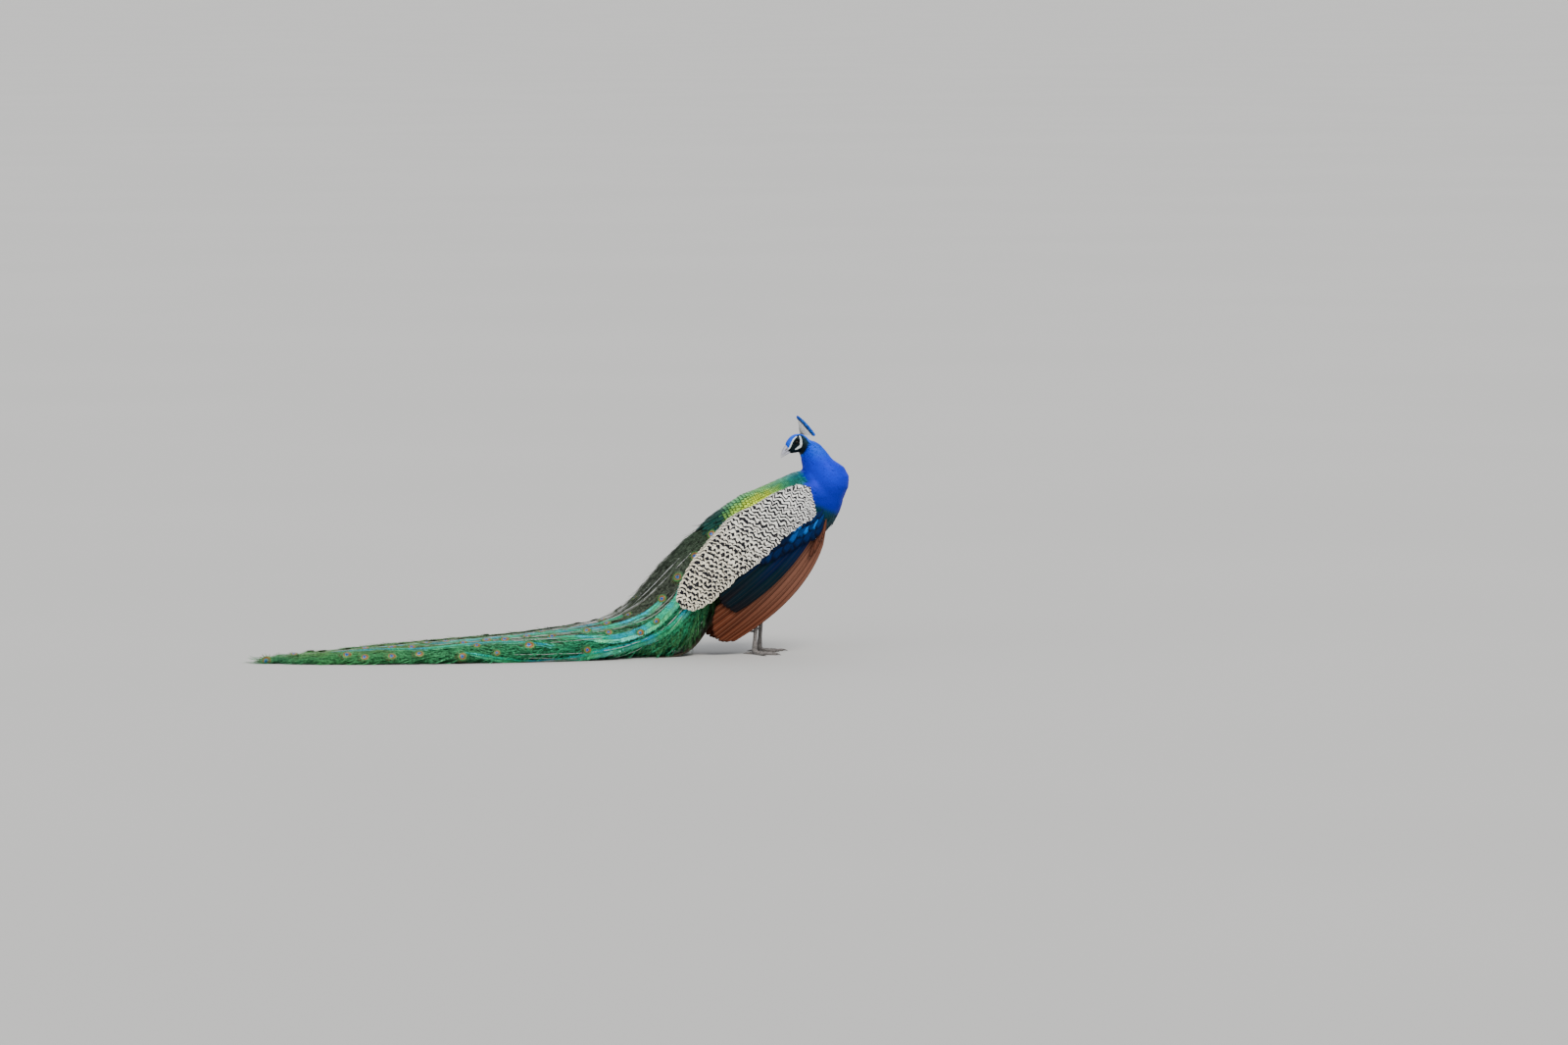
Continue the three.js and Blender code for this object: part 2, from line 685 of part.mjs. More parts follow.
const trunkLoft = (grow) => solidOf(outlineLoft(TRUNK, { steps: 14, sides: 18, grow }));
const trainLoft = (grow) =>
  solidOf(outlineLoft(trainStations(), { steps: 21, sides: 16, grow })).add(trainTips());
const trunkGrown = trunkLoft(GAP);
const bodyGrown = trunkGrown.add(trainLoft(GAP));
const headGrown = solidOf(
  outlineLoft(HEAD, { steps: 11, sides: 14, grow: GAP }),
  headGroup.matrixWorld,
);

const wings = {};
for (const [name, side] of Object.entries(SIDES)) {
  wings[`wing_${name}_shield`] = shieldSolid(side).subtract(bodyGrown);
  wings[`wing_${name}_secondaries`] = wingFan(side, SECONDARY_FAN);
  wings[`wing_${name}_primaries`] = wingFan(side, PRIMARY_FAN);
}

const neck = solidOf(outlineLoft(NECK, { steps: 9, sides: 16 }))
  .subtract(trunkGrown)
  .subtract(headGrown)
  .subtract(shieldSolid(SIDES.right, GAP))
  .subtract(shieldSolid(SIDES.left, GAP));
const [neckLower, neckUpper] = parted(neck, vector(185, 0, 521), vector(-0.25, 0, 1));

const body = trunkLoft(0).add(trainLoft(0)).subtract(belowFloor);
const [train, bodyAhead] = parted(body, vector(-92, 0, 316), vector(0.72, 0, 0.69));
const [trunk, breast] = parted(bodyAhead, vector(158, 0, 410), vector(0.957, 0, 0.29));
const [trainLying, trainBase] = parted(train, vector(-410, 0, 60), vector(0.9, 0, 0.44));
const [trainEnd, trainMiddle] = parted(trainLying, vector(-900, 0, 30), vector(1, 0, 0));

const rest = {
  breast,
  trunk,
  neck_lower: neckLower,
  neck_upper: neckUpper,
  train_base: trainBase,
  train_middle: trainMiddle,
  train_end: trainEnd,
  tail_fan: tailSolid().subtract(bodyGrown).subtract(belowFloor),
  ...wings,
  ...legSolids("right", trunkGrown),
  ...legSolids("left", trunkGrown),
};
for (const [name, solid] of Object.entries(rest)) bird.add(pieceOf(name, solid));

bird.updateMatrixWorld(true);
const box = new THREE.Box3().setFromObject(bird, true);
bird.position.set(-(box.min.x + box.max.x) / 2, -(box.min.y + box.max.y) / 2, 0);

export default bird;
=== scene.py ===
"""A life-size Indian peacock at rest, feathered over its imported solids.

Lengths are metres. The bird is modelled about the point on the floor between its feet, facing
+X with +Y to its left, and each finished mesh is moved to the row frame once, when it is shown.
"""

import logging
import math
from dataclasses import dataclass, field
from enum import Enum
from typing import Any, Callable, Iterable, Sequence

import bmesh
import bpy
import numpy as np
from mathutils import Euler, Matrix, Vector
from mathutils.bvhtree import BVHTree

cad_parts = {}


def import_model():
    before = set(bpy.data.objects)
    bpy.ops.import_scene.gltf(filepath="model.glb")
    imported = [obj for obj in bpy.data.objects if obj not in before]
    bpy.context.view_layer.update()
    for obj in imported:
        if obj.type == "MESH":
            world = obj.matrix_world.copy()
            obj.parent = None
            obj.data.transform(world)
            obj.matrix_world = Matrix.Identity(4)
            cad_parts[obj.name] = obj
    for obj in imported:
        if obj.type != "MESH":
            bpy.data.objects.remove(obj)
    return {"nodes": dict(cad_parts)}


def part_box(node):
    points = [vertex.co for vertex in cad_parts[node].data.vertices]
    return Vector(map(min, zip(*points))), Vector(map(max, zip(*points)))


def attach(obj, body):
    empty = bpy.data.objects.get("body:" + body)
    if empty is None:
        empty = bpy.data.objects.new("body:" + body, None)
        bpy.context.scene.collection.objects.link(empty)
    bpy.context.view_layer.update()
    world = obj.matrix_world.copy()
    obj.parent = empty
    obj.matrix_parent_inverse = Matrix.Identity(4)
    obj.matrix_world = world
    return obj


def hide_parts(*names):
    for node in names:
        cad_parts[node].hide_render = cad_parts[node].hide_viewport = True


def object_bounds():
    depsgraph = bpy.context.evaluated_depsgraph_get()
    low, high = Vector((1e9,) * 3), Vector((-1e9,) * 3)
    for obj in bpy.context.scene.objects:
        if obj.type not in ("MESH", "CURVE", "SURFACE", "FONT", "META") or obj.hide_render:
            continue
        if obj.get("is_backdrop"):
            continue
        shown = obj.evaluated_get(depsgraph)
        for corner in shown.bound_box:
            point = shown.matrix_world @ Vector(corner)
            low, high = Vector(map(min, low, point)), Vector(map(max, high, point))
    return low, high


log = logging.getLogger("peacock")

Array = np.ndarray
Colour = tuple[float, float, float]
Edges = tuple[Array, Array, Array]
MM = 0.001
BREAST_REACH = 0.266  # from the point between the feet forward to the front of the breast
LEFT = np.array([0.0, 1.0, 0.0])
RAY = 0.3  # how far a skin is looked for from a line inside it
UNWRAP = "OFBake"
LEAF = "leaf"  # each feather's own map: across it, and from its root to its tip
TUFT_PATCH = 0.003  # the size of a feather's patch on its coat's unwrap
RIM_ANGLE = 1.35  # radians between faces, past which an edge is shaded as a sharp one
CROWDING = 1.6  # roots tried for each square of the least distance between them
SCALE_LENGTH = 0.029  # of a barred feather, as it is laid out on the wing


# ---- Numbers and paths -------------------------------------------------------------------------


def mm(*rows: Sequence[float]) -> Array:
    """Rows of millimetres as an array of metres."""
    return np.array(rows, float) * MM


def eased(t: Any) -> Any:
    """A smooth step from 0 to 1."""
    t = np.clip(t, 0, 1)
    return t * t * (3 - 2 * t)


def mix(a: Any, b: Any, t: Any) -> Any:
    """The value or colour a share t of the way from a to b."""
    a, b = np.asarray(a, float), np.asarray(b, float)
    return a + (b - a) * t


def read(table: Any, stops: Any, at: Any) -> Array:
    """Rows read between the rows of a table.

    Args:
        table: The rows.
        stops: Where each of them lies.
        at: Where they are read.

    Returns:
        A row for each place.
    """
    return np.stack([np.interp(at, stops, column) for column in np.asarray(table).T], axis=-1)


def unit(vectors: Array) -> Array:
    """Vectors at length one."""
    size = np.linalg.norm(vectors, axis=-1, keepdims=True)
    return vectors / np.maximum(size, 1e-9)


def waves(points: Array, scale: float, seed: int = 0) -> Array:
    """A smooth irregular field between about -1 and 1.

    Args:
        points: Where it is read, one row each.
        scale: The length of its larger waves.
        seed: Another field for another seed.

    Returns:
        One value for each point.
    """
    rng = np.random.default_rng(seed)
    total = np.zeros(len(points))
    for _ in range(6):
        axis = unit(rng.normal(size=points.shape[1]))
        total += np.sin(points @ axis * (math.tau / scale * rng.uniform(0.6, 1.7)) + rng.uniform(0, math.tau))
    return total / 2.6


def spline(points: Array, share: Any) -> Array:
    """A smooth curve through points, with as much of its run between each two of them.

    Args:
        points: The points that it passes through.
        share: Where it is read, from 0 at the first point to 1 at the last.

    Returns:
        A point for each share.
    """
    knots = np.vstack([2 * points[0] - points[1], points, 2 * points[-1] - points[-2]])
    at = np.clip(np.asarray(share, float), 0, 1) * (len(points) - 1)
    i = np.minimum(at.astype(int), len(points) - 2)
    t = (at - i)[..., None]
    a, b, c, d = (knots[i + k] for k in range(4))
    bend = (2 * a - 5 * b + 4 * c - d) * t**2 + (3 * b - a - 3 * c + d) * t**3
    return 0.5 * (2 * b + (c - a) * t + bend)


class Path:
    """A smooth line through a few points, read by its share of the length."""

    def __init__(self, points: Array, samples: int = 160) -> None:
        """Fits the line.

        Args:
            points: The points that it passes through.
            samples: How many even steps it is kept in.
        """
        line = spline(points, np.linspace(0, 1, 24 * len(points)))
        steps = np.r_[0, np.cumsum(np.linalg.norm(np.diff(line, axis=0), axis=1))]
        self.length = float(steps[-1])
        even = np.linspace(0, self.length, samples)
        self.points = read(line, steps, even)
        self.tangents = unit(np.gradient(self.points, axis=0))

    def at(self, share: Any) -> Array:
        """The points at shares of the length."""
        return self._read(self.points, share)

    def along(self, share: Any) -> Array:
        """The directions at shares of the length."""
        return unit(self._read(self.tangents, share))

    def nearest(self, points: Array) -> tuple[Array, Array]:
        """Where points lie along the line.

        Args:
            points: One row each.

        Returns:
            The share of the length nearest to each, and how far off it is.
        """
        shares = np.empty(len(points))
        gaps = np.empty(len(points))
        for start in range(0, len(points), 20000):
            part = points[start : start + 20000, None] - self.points[None]
            gap = np.linalg.norm(part, axis=2)
            best = gap.argmin(axis=1)
            shares[start : start + 20000] = best / (len(self.points) - 1)
            gaps[start : start + 20000] = gap[np.arange(len(best)), best]
        return shares, gaps

    def _read(self, table: Array, share: Any) -> Array:
        """Rows of one of the path's tables at shares of its length."""
        at = np.clip(np.asarray(share, float), 0, 1) * (len(table) - 1)
        return read(table, np.arange(len(table)), at)


# ---- Shapes and pieces -------------------------------------------------------------------------


@dataclass
class Shape:
    """Points, faces and a place on a leaf map for each point."""

    points: Array
    faces: list[tuple[int, ...]]
    leaf: Array
    tint: Array | None = None

    def mesh(self, name: str) -> bpy.types.Mesh:
        """The shape as a mesh, smooth shaded but for its rims.

        Args:
            name: What the mesh is called.

        Returns:
            The mesh, with its leaf map, and its colours where it has any.
        """
        mesh = bpy.data.meshes.new(name)
        mesh.from_pydata(self.points.tolist(), [], self.faces)
        mesh.polygons.foreach_set("use_smooth", np.ones(len(mesh.polygons), bool))
        mesh.set_sharp_from_angle(angle=RIM_ANGLE)
        lay_out(mesh, LEAF, self.leaf[corner_vertices(mesh)])
        if self.tint is not None:
            paint(mesh, "tint", self.tint)
        return mesh

    def moved(self, change: Callable[[Array], Array]) -> "Shape":
        """The shape with its points changed by a function."""
        return Shape(change(self.points), self.faces, self.leaf, self.tint)

    def painted(self, colour: Any) -> "Shape":
        """The shape with one colour, or one for each point."""
        return Shape(self.points, self.faces, self.leaf, np.broadcast_to(colour, self.points.shape))

    @staticmethod
    def joined(shapes: Iterable["Shape"]) -> "Shape":
        """Several shapes as one.

        Args:
            shapes: The shapes, all of them with colours or none.

        Returns:
            The whole.
        """
        points, faces, leaves, tints, start = [], [], [], [], 0
        for shape in shapes:
            points.append(shape.points)
            leaves.append(shape.leaf)
            tints.append(shape.tint)
            faces += [tuple(i + start for i in f) for f in shape.faces]
            start += len(shape.points)
        tint = None if tints[0] is None else np.vstack(tints)
        return Shape(np.vstack(points), faces, np.vstack(leaves), tint)


def corner_vertices(mesh: bpy.types.Mesh) -> Array:
    """The vertex at each corner of a mesh's faces."""
    corners = np.empty(len(mesh.loops), np.int32)
    mesh.loops.foreach_get("vertex_index", corners)
    return corners


def lay_out(mesh: bpy.types.Mesh, name: str, places: Array) -> None:
    """Adds a UV map to a mesh, from a place for each corner."""
    mesh.uv_layers.new(name=name).uv.foreach_set("vector", places.astype(np.float32).ravel())


def paint(mesh: bpy.types.Mesh, name: str, values: Array) -> None:
    """Keeps a number, a vector or a colour at every vertex of a mesh.

    Args:
        mesh: The mesh.
        name: The attribute's name. "tint" is kept as a colour.
        values: One value or row for each vertex.
    """
    values = np.asarray(values)
    if name == "tint":
        mesh.attributes.new(name, "FLOAT_COLOR", "POINT")
    else:
        mesh.attributes.new(name, "FLOAT_VECTOR" if values.ndim == 2 else "FLOAT", "POINT")
    repaint(mesh, name, values)


def repaint(mesh: bpy.types.Mesh, name: str, values: Array) -> None:
    """Changes a colour or a number that is kept at each vertex.

    Args:
        mesh: The mesh.
        name: The attribute's name.
        values: A number, or three, for each vertex.
    """
    kept = mesh.attributes[name]
    kind = {"FLOAT": "value", "FLOAT_VECTOR": "vector"}.get(kept.data_type, "color")
    if kind == "color":
        values = np.column_stack([values, np.ones(len(values))])
    kept.data.foreach_set(kind, np.ascontiguousarray(values, np.float32).ravel())


def coordinates(mesh: bpy.types.Mesh) -> Array:
    """A mesh's vertex coordinates, one row each."""
    flat = np.empty(len(mesh.vertices) * 3, np.float32)
    mesh.vertices.foreach_get("co", flat)
    return flat.reshape(-1, 3).astype(float)


def normals(mesh: bpy.types.Mesh) -> Array:
    """A mesh's vertex normals, one row each."""
    flat = np.empty(len(mesh.vertices) * 3, np.float32)
    mesh.vertex_normals.foreach_get("vector", flat)
    return flat.reshape(-1, 3).astype(float)


def move_points(mesh: bpy.types.Mesh, points: Array) -> None:
    """Puts a mesh's vertices at new coordinates."""
    mesh.vertices.foreach_set("co", points.astype(np.float32).ravel())
    mesh.update()


def tube(points: Array, radii: Array, sides: int = 6, flat: float = 1.0) -> Shape:
    """A closed tube along points.

    Args:
        points: The middle of each ring.
        radii: The radius of each ring.
        sides: How many faces go round it.
        flat: Its height as a share of its width.

    Returns:
        The tube. Its leaf map goes round it, and along it.
    """
    run = unit(np.gradient(points, axis=0))
    beside = unit(np.cross(np.array([0.02, 0.03, 1.0]), run))
    above = np.cross(run, beside)
    turn = np.arange(sides) * math.tau / sides
    ring = np.cos(turn)[None, :, None] * beside[:, None] + flat * np.sin(turn)[None, :, None] * above[:, None]
    body = points[:, None] + ring * radii[:, None, None]
    count = len(points)
    faces: list[tuple[int, ...]] = []
    for r in range(count - 1):
        for k in range(sides):
            a, b = r * sides + k, r * sides + (k + 1) % sides
            faces.append((a, b, b + sides, a + sides))
    faces.append(tuple(range(sides - 1, -1, -1)))
    faces.append(tuple((count - 1) * sides + k for k in range(sides)))
    along = np.repeat(np.linspace(0, 1, count), sides)
    around = np.tile(np.arange(sides) / sides, count)
    return Shape(body.reshape(-1, 3), faces, np.column_stack([around, along]))


def slab(top: Array, bottom: Array) -> Shape:
    """A closed sheet between two grids of points.

    Args:
        top: Rows of points that run along it, with the columns going across to its left.
        bottom: The same grid on its other face.

    Returns:
        The sheet. Its leaf map goes across it, and along it.
    """
    rows, columns = top.shape[:2]
    half = rows * columns
    index = np.arange(half).reshape(rows, columns)
    faces: list[tuple[int, ...]] = []
    for r in range(rows - 1):
        for c in range(columns - 1):
            a, b, d, e = index[r, c], index[r + 1, c], index[r + 1, c + 1], index[r, c + 1]
            faces.append((a, b, d, e))
            faces.append((a + half, e + half, d + half, b + half))
    rim = [*index[:, 0], *index[-1, 1:], *index[-2::-1, -1], *index[0, -2:0:-1]]
    for a, b in zip(rim, rim[1:] + rim[:1]):
        faces.append((b, a, a + half, b + half))
    faces = [tuple(int(i) for i in f) for f in faces]
    across, along = np.meshgrid(np.linspace(0, 1, columns), np.linspace(0, 1, rows))
    leaf = np.column_stack([across.ravel(), along.ravel()])
    return Shape(np.vstack([top.reshape(-1, 3), bottom.reshape(-1, 3)]), faces, np.vstack([leaf, leaf]))


class Stage:
    """Moves finished pieces to the row frame and shows them."""

    def __init__(self, origin: Vector, nodes: dict[str, bpy.types.Object]) -> None:
        """Keeps the point in the row frame that the bird is modelled about, and the CAD nodes."""
        self.origin = origin
        self.nodes = nodes

    def solid(self, *nodes: str) -> tuple[Array, Array]:
        """The triangles of CAD nodes, about the bird's own origin.

        Args:
            nodes: The nodes' names.

        Returns:
            Their vertices, and three vertex numbers for each face.
        """
        points, faces, start = [], [], 0
        for node in nodes:
            mesh = self.nodes[node].data
            mesh.calc_loop_triangles()
            index = np.empty(len(mesh.loop_triangles) * 3, np.int32)
            mesh.loop_triangles.foreach_get("vertices", index)
            points.append(coordinates(mesh) - np.array(self.origin))
            faces.append(index.reshape(-1, 3) + start)
            start += len(mesh.vertices)
        return np.vstack(points), np.vstack(faces)

    def show(
        self, name: str, mesh: bpy.types.Mesh, finish: bpy.types.Material | None, slot: str,
        replaces: Sequence[str] = (),
    ) -> bpy.types.Object:
        """Shows a finished mesh as a piece of the bird.

        Args:
            name: The piece's name.
            mesh: Its mesh, about the bird's own origin.
            finish: Its material, or None where it already has some.
            slot: The record's material slot, which is not used.
            replaces: The CAD nodes that it stands for.

        Returns:
            The piece.
        """
        mesh.transform(Matrix.Translation(self.origin))
        for attribute in ("up", "along", "size", "cover", "unwrap", "sharp_face"):
            if attribute in mesh.attributes:
                mesh.attributes.remove(mesh.attributes[attribute])
        if finish is not None:
            mesh.materials.clear()
            mesh.materials.append(finish)
        piece = bpy.data.objects.new(name, mesh)
        bpy.context.scene.collection.objects.link(piece)
        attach(piece, "root")
        if replaces:
            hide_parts(*replaces)
        mesh.calc_loop_triangles()
        log.info("%s: %d triangles", name, len(mesh.loop_triangles))
        return piece


# ---- Finishes ----------------------------------------------------------------------------------


class Wiring:
    """A node tree, built by short calls."""

    def __init__(self, tree: bpy.types.NodeTree) -> None:
        """Keeps the tree."""
        self.tree = tree

    def add(self, kind: str, props: dict[str, Any] | None = None, **inputs: Any) -> Any:
        """Adds a node.

        Args:
            kind: The node's type.
            props: The node's own settings.
            inputs: Values or sockets for its inputs, by name with _ for a space.

        Returns:
            The node.
        """
        node = self.tree.nodes.new(kind)
        for key, value in (props or {}).items():
            setattr(node, key, value)
        for key, value in inputs.items():
            name = key.replace("_", " ")
            self.put(next(s for s in node.inputs if s.name == name and s.enabled), value)
        return node

    def put(self, socket: Any, value: Any) -> None:
        """Links a socket to an input, or sets the input to a value."""
        if isinstance(value, bpy.types.NodeSocket):
            self.tree.links.new(value, socket)
        elif isinstance(value, tuple) and len(value) == 3 and socket.type == "RGBA":
            socket.default_value = (*value, 1)
        else:
            socket.default_value = value

    def math(self, operation: str, a: Any, b: Any = 0.0) -> Any:
        """One sum on one or two values."""
        node = self.add("ShaderNodeMath", {"operation": operation})
        for socket, value in zip(node.inputs, (a, b)):
            self.put(socket, value)
        return node.outputs[0]

    def plus(self, a: Any, b: Any) -> Any:
        """Two values added."""
        return self.math("ADD", a, b)

    def minus(self, a: Any, b: Any) -> Any:
        """One value less another."""
        return self.math("SUBTRACT", a, b)

    def times(self, a: Any, b: Any) -> Any:
        """Two values multiplied."""
        return self.math("MULTIPLY", a, b)


class Nodes(Wiring):
    """A material's node tree, and its shader."""

    def __init__(self, name: str) -> None:
        """Starts a material with a Principled shader."""
        self.material = bpy.data.materials.new(name)
        self.material.use_nodes = True
        super().__init__(self.material.node_tree)
        self.shader = next(n for n in self.tree.nodes if n.type == "BSDF_PRINCIPLED")

    def set(self, **inputs: Any) -> None:
        """Sets or links inputs of the shader."""
        for key, value in inputs.items():
            self.put(self.shader.inputs[key.replace("_", " ")], value)

    def size(self, value: Any) -> Any:
        """A value without its sign."""
        return self.math("ABSOLUTE", value)

    def sine(self, value: Any) -> Any:
        """The sine of a value."""
        return self.math("SINE", value)

    def blend(self, share: Any, a: Any, b: Any, how: str = "MIX") -> Any:
        """A mix of two colours."""
        node = self.tree.nodes.new("ShaderNodeMix")
        node.data_type = "RGBA"
        node.blend_type = how
        for name, value in (("Factor_Float", share), ("A_Color", a), ("B_Color", b)):
            self.put(next(s for s in node.inputs if s.identifier == name), value)
        return next(s for s in node.outputs if s.identifier == "Result_Color")

    def step(self, value: Any, low: float, high: float, to: tuple[float, float] = (0, 1)) -> Any:
        """A value's smooth rise from low to high."""
        node = self.add("ShaderNodeMapRange", {"interpolation_type": "SMOOTHSTEP"})
        keys = ("Value", "From Min", "From Max", "To Min", "To Max")
        for key, number in zip(keys, (value, low, high, *to)):
            self.put(node.inputs[key], number)
        return node.outputs["Result"]

    def mottled(self, colour: Any, noise: Any, low: float, high: float, to: tuple[float, float]) -> Any:
        """A colour made darker and lighter from place to place.

        Args:
            colour: The colour.
            noise: The noise that it follows.
            low: The noise at its darkest.
            high: The noise at its lightest.
            to: How dark and how light it gets, as shares of the colour.

        Returns:
            The colour's socket.
        """
        return self.blend(1.0, colour, self.step(noise, low, high, to), "MULTIPLY")

    def tint(self) -> Any:
        """The colour kept at each vertex."""
        return self.add("ShaderNodeAttribute", {"attribute_name": "tint"}).outputs["Color"]

    def number(self, name: str) -> Any:
        """A number kept at each vertex."""
        return self.add("ShaderNodeAttribute", {"attribute_name": name}).outputs["Fac"]

    def leaf(self) -> tuple[Any, Any]:
        """The place on the leaf map: across, and along."""
        place = self.add("ShaderNodeUVMap", {"uv_map": LEAF}).outputs["UV"]
        split = self.add("ShaderNodeSeparateXYZ", Vector=place)
        return split.outputs["X"], split.outputs["Y"]

    def noise(self, scale: float, detail: float = 2.0, stretch: Colour = (1, 1, 1)) -> Any:
        """Noise on object coordinates."""
        place = self.add("ShaderNodeTexCoord").outputs["Object"]
        place = self.add("ShaderNodeMapping", Vector=place, Scale=stretch).outputs["Vector"]
        node = self.add("ShaderNodeTexNoise", Vector=place, Scale=scale, Detail=detail)
        return node.outputs["Fac"]

    def reach(self, way: Colour, start: Colour) -> Any:
        """How far places lie along a direction from a start."""
        place = self.add("ShaderNodeTexCoord").outputs["Object"]
        node = self.add("ShaderNodeVectorMath", {"operation": "DOT_PRODUCT"})
        self.put(node.inputs[0], place)
        self.put(node.inputs[1], way)
        return self.math("SUBTRACT", node.outputs["Value"], float(np.dot(way, start)))

    def bump(self, height: Any, distance: float, strength: float = 1.0) -> None:
        """Bumps the shader by a height."""
        node = self.add("ShaderNodeBump", Height=height, Distance=distance, Strength=strength)
        self.set(Normal=node.outputs["Normal"])


@dataclass(frozen=True)
class FeatherFinish:
    """The finish of a vane, from its own colour at each vertex.

    Attributes:
        name: The material's name.
        roughness: How matt it is.
        metallic: How far its colour comes from its gloss, as on an iridescent feather.
        rim: How dark the edge is, from 0 to 1.
        rim_colour: The colour at the edge.
        shaft: How pale the shaft is, from 0 to 1.
        shaft_colour: The shaft's colour.
        barbs: How many barb lines there are along it.
        flecks: How strongly its colour varies from place to place.
        rim_width: How wide the dark edge is, as a share of the vane's width.
        relief: How deep the lines between its barbs are.
        gloss: How strongly it reflects, beside its own colour.
    """

    name: str
    roughness: float = 0.45
    metallic: float = 0.3
    rim: float = 0.5
    rim_colour: Colour = (0.0, 0.01, 0.03)
    shaft: float = 0.0
    shaft_colour: Colour = (0.5, 0.45, 0.35)
    barbs: float = 14.0
    flecks: float = 0.25
    rim_width: float = 0.2
    relief: float = 0.00008
    gloss: float = 0.14

    def material(self) -> bpy.types.Material:
        """Builds the material."""
        n = Nodes(self.name)
        across, along = n.leaf()
        off = n.size(n.minus(across, 0.5))
        tip = n.step(along, 1 - self.rim_width, 0.96)
        edge = n.math("MAXIMUM", n.step(off, 0.5 - self.rim_width, 0.48), tip)
        slant = n.minus(along, n.times(off, 0.5))
        lines = n.sine(n.times(slant, self.barbs * math.tau))
        colour = n.blend(n.times(edge, self.rim), n.tint(), self.rim_colour)
        colour = n.mottled(colour, n.noise(420.0), 0.3, 0.75, (1 - self.flecks, 1 + self.flecks))
        if self.shaft:
            quill = n.times(n.step(off, 0.06, 0.02), self.shaft)
            colour = n.blend(quill, colour, self.shaft_colour)
        n.set(Base_Color=colour, Roughness=self.roughness)
        n.set(Metallic=self.metallic, Specular_IOR_Level=self.gloss)
        n.bump(lines, self.relief)
        return n.material


@dataclass(frozen=True)
class SkinFinish:
    """Bare skin and the down under the feathers, whose colour is painted darker where the feathers shade it.
    """

    name: str = "skin_and_down"
    roughness: float = 0.6

    def material(self) -> bpy.types.Material:
        """Builds the material."""
        n = Nodes(self.name)
        colour = n.mottled(n.tint(), n.noise(300.0, 3.0), 0.3, 0.7, (0.75, 1.15))
        n.set(Base_Color=colour, Roughness=self.roughness, Specular_IOR_Level=0.06)
        n.bump(n.noise(900.0, 2.0), 0.0002)
        return n.material


def shared(finish: Any) -> bpy.types.Material:
    """A finish's material, built once."""
    return bpy.data.materials.get(finish.name) or finish.material()


# ---- Growing feathers --------------------------------------------------------------------------


def vane(
    length: float, width: float, lift: float = 0.1, droop: float = 0.06, dome: float = 0.12,
    stations: int = 3, ridge: float = 0.05,
) -> Shape:
    """A small closed feather, from a root at the origin along +X, facing +Z.

    Args:
        length: From root to tip.
        width: At its widest.
        lift: How steeply it rises from its root.
        droop: How far the tip curls back down, as a share of the length.
        dome: How far the sides fall below the middle, as a share of the width.
        stations: How many rows of points it has before the tip.
        ridge: How high the middle stands, as a share of the width.

    Returns:
        The feather.
    """
    t = np.r_[np.linspace(0, 0.62, stations - 2), 0.80, 0.92] if stations > 3 else np.array([0, 0.62, 0.90])
    rounding = np.sqrt(1 - (np.maximum(t - 0.6, 0) / 0.4) ** 2)
    half = width / 2 * np.where(t < 0.6, mix(0.34, 1, eased(t / 0.6)), rounding)
    height = length * (lift * t - droop * t**2)
    left = np.column_stack([length * t, half, height - dome * half])
    middle = np.column_stack([length * t, 0 * t, height + ridge * width])
    right = left * [1, -1, 1]
    tip = np.array([[length, 0, length * (lift - droop)]])
    points = np.vstack([left, middle, right, tip])
    n = stations
    faces: list[tuple[int, ...]] = []
    for i in range(n - 1):
        faces.append((n + i, n + i + 1, i + 1, i))
        faces.append((2 * n + i, 2 * n + i + 1, n + i + 1, n + i))
    faces.append((2 * n - 1, 3 * n, n - 1))
    faces.append((3 * n - 1, 3 * n, 2 * n - 1))
    faces.append((*range(n), 3 * n, *range(3 * n - 1, 2 * n - 1, -1), n))
    across = np.r_[1 + 0 * t, 0.5 + 0 * t, 0 * t, 0.5]
    along = np.r_[t, t, t, 1]
    return Shape(points, faces, np.column_stack([across, along]))


def barb(path: Array, width: float, stations: int = 3) -> Shape:
    """A thin closed barb along a path, three-sided and pointed.

    Args:
        path: A few points from root to tip.
        width: At its root.
        stations: How many rings it has before the tip.

    Returns:
        The barb.
    """
    line = Path(path, 24)
    t = np.linspace(0, 0.8, stations)
    middle, run = line.at(t), line.along(t)
    beside = unit(np.cross([0, 0, 1.0], run))
    above = np.cross(run, beside)
    half = (width / 2 * (1 - 0.45 * t))[:, None]
    rings = np.stack([middle + beside * half, middle + above * half * 0.7, middle - beside * half], axis=1)
    points = np.vstack([rings.reshape(-1, 3), line.at(1.0)[None]])
    faces: list[tuple[int, ...]] = [(0, 1, 2)]
    for r in range(stations - 1):
        for k in range(3):
            a, b = 3 * r + k, 3 * r + (k + 1) % 3
            faces.append((b, a, a + 3, b + 3))
    last, tip = 3 * (stations - 1), 3 * stations
    faces += [(last + (k + 1) % 3, last + k, tip) for k in range(3)]
    leaf = np.column_stack([np.r_[np.tile([0, 0.5, 1], stations), 0.5], np.r_[np.repeat(t, 3), 1]])
    return Shape(points, faces, leaf)


class Sowing(Enum):
    """How the roots of a coat are placed."""

    STREWN = "strewn"
    ROWS = "rows"


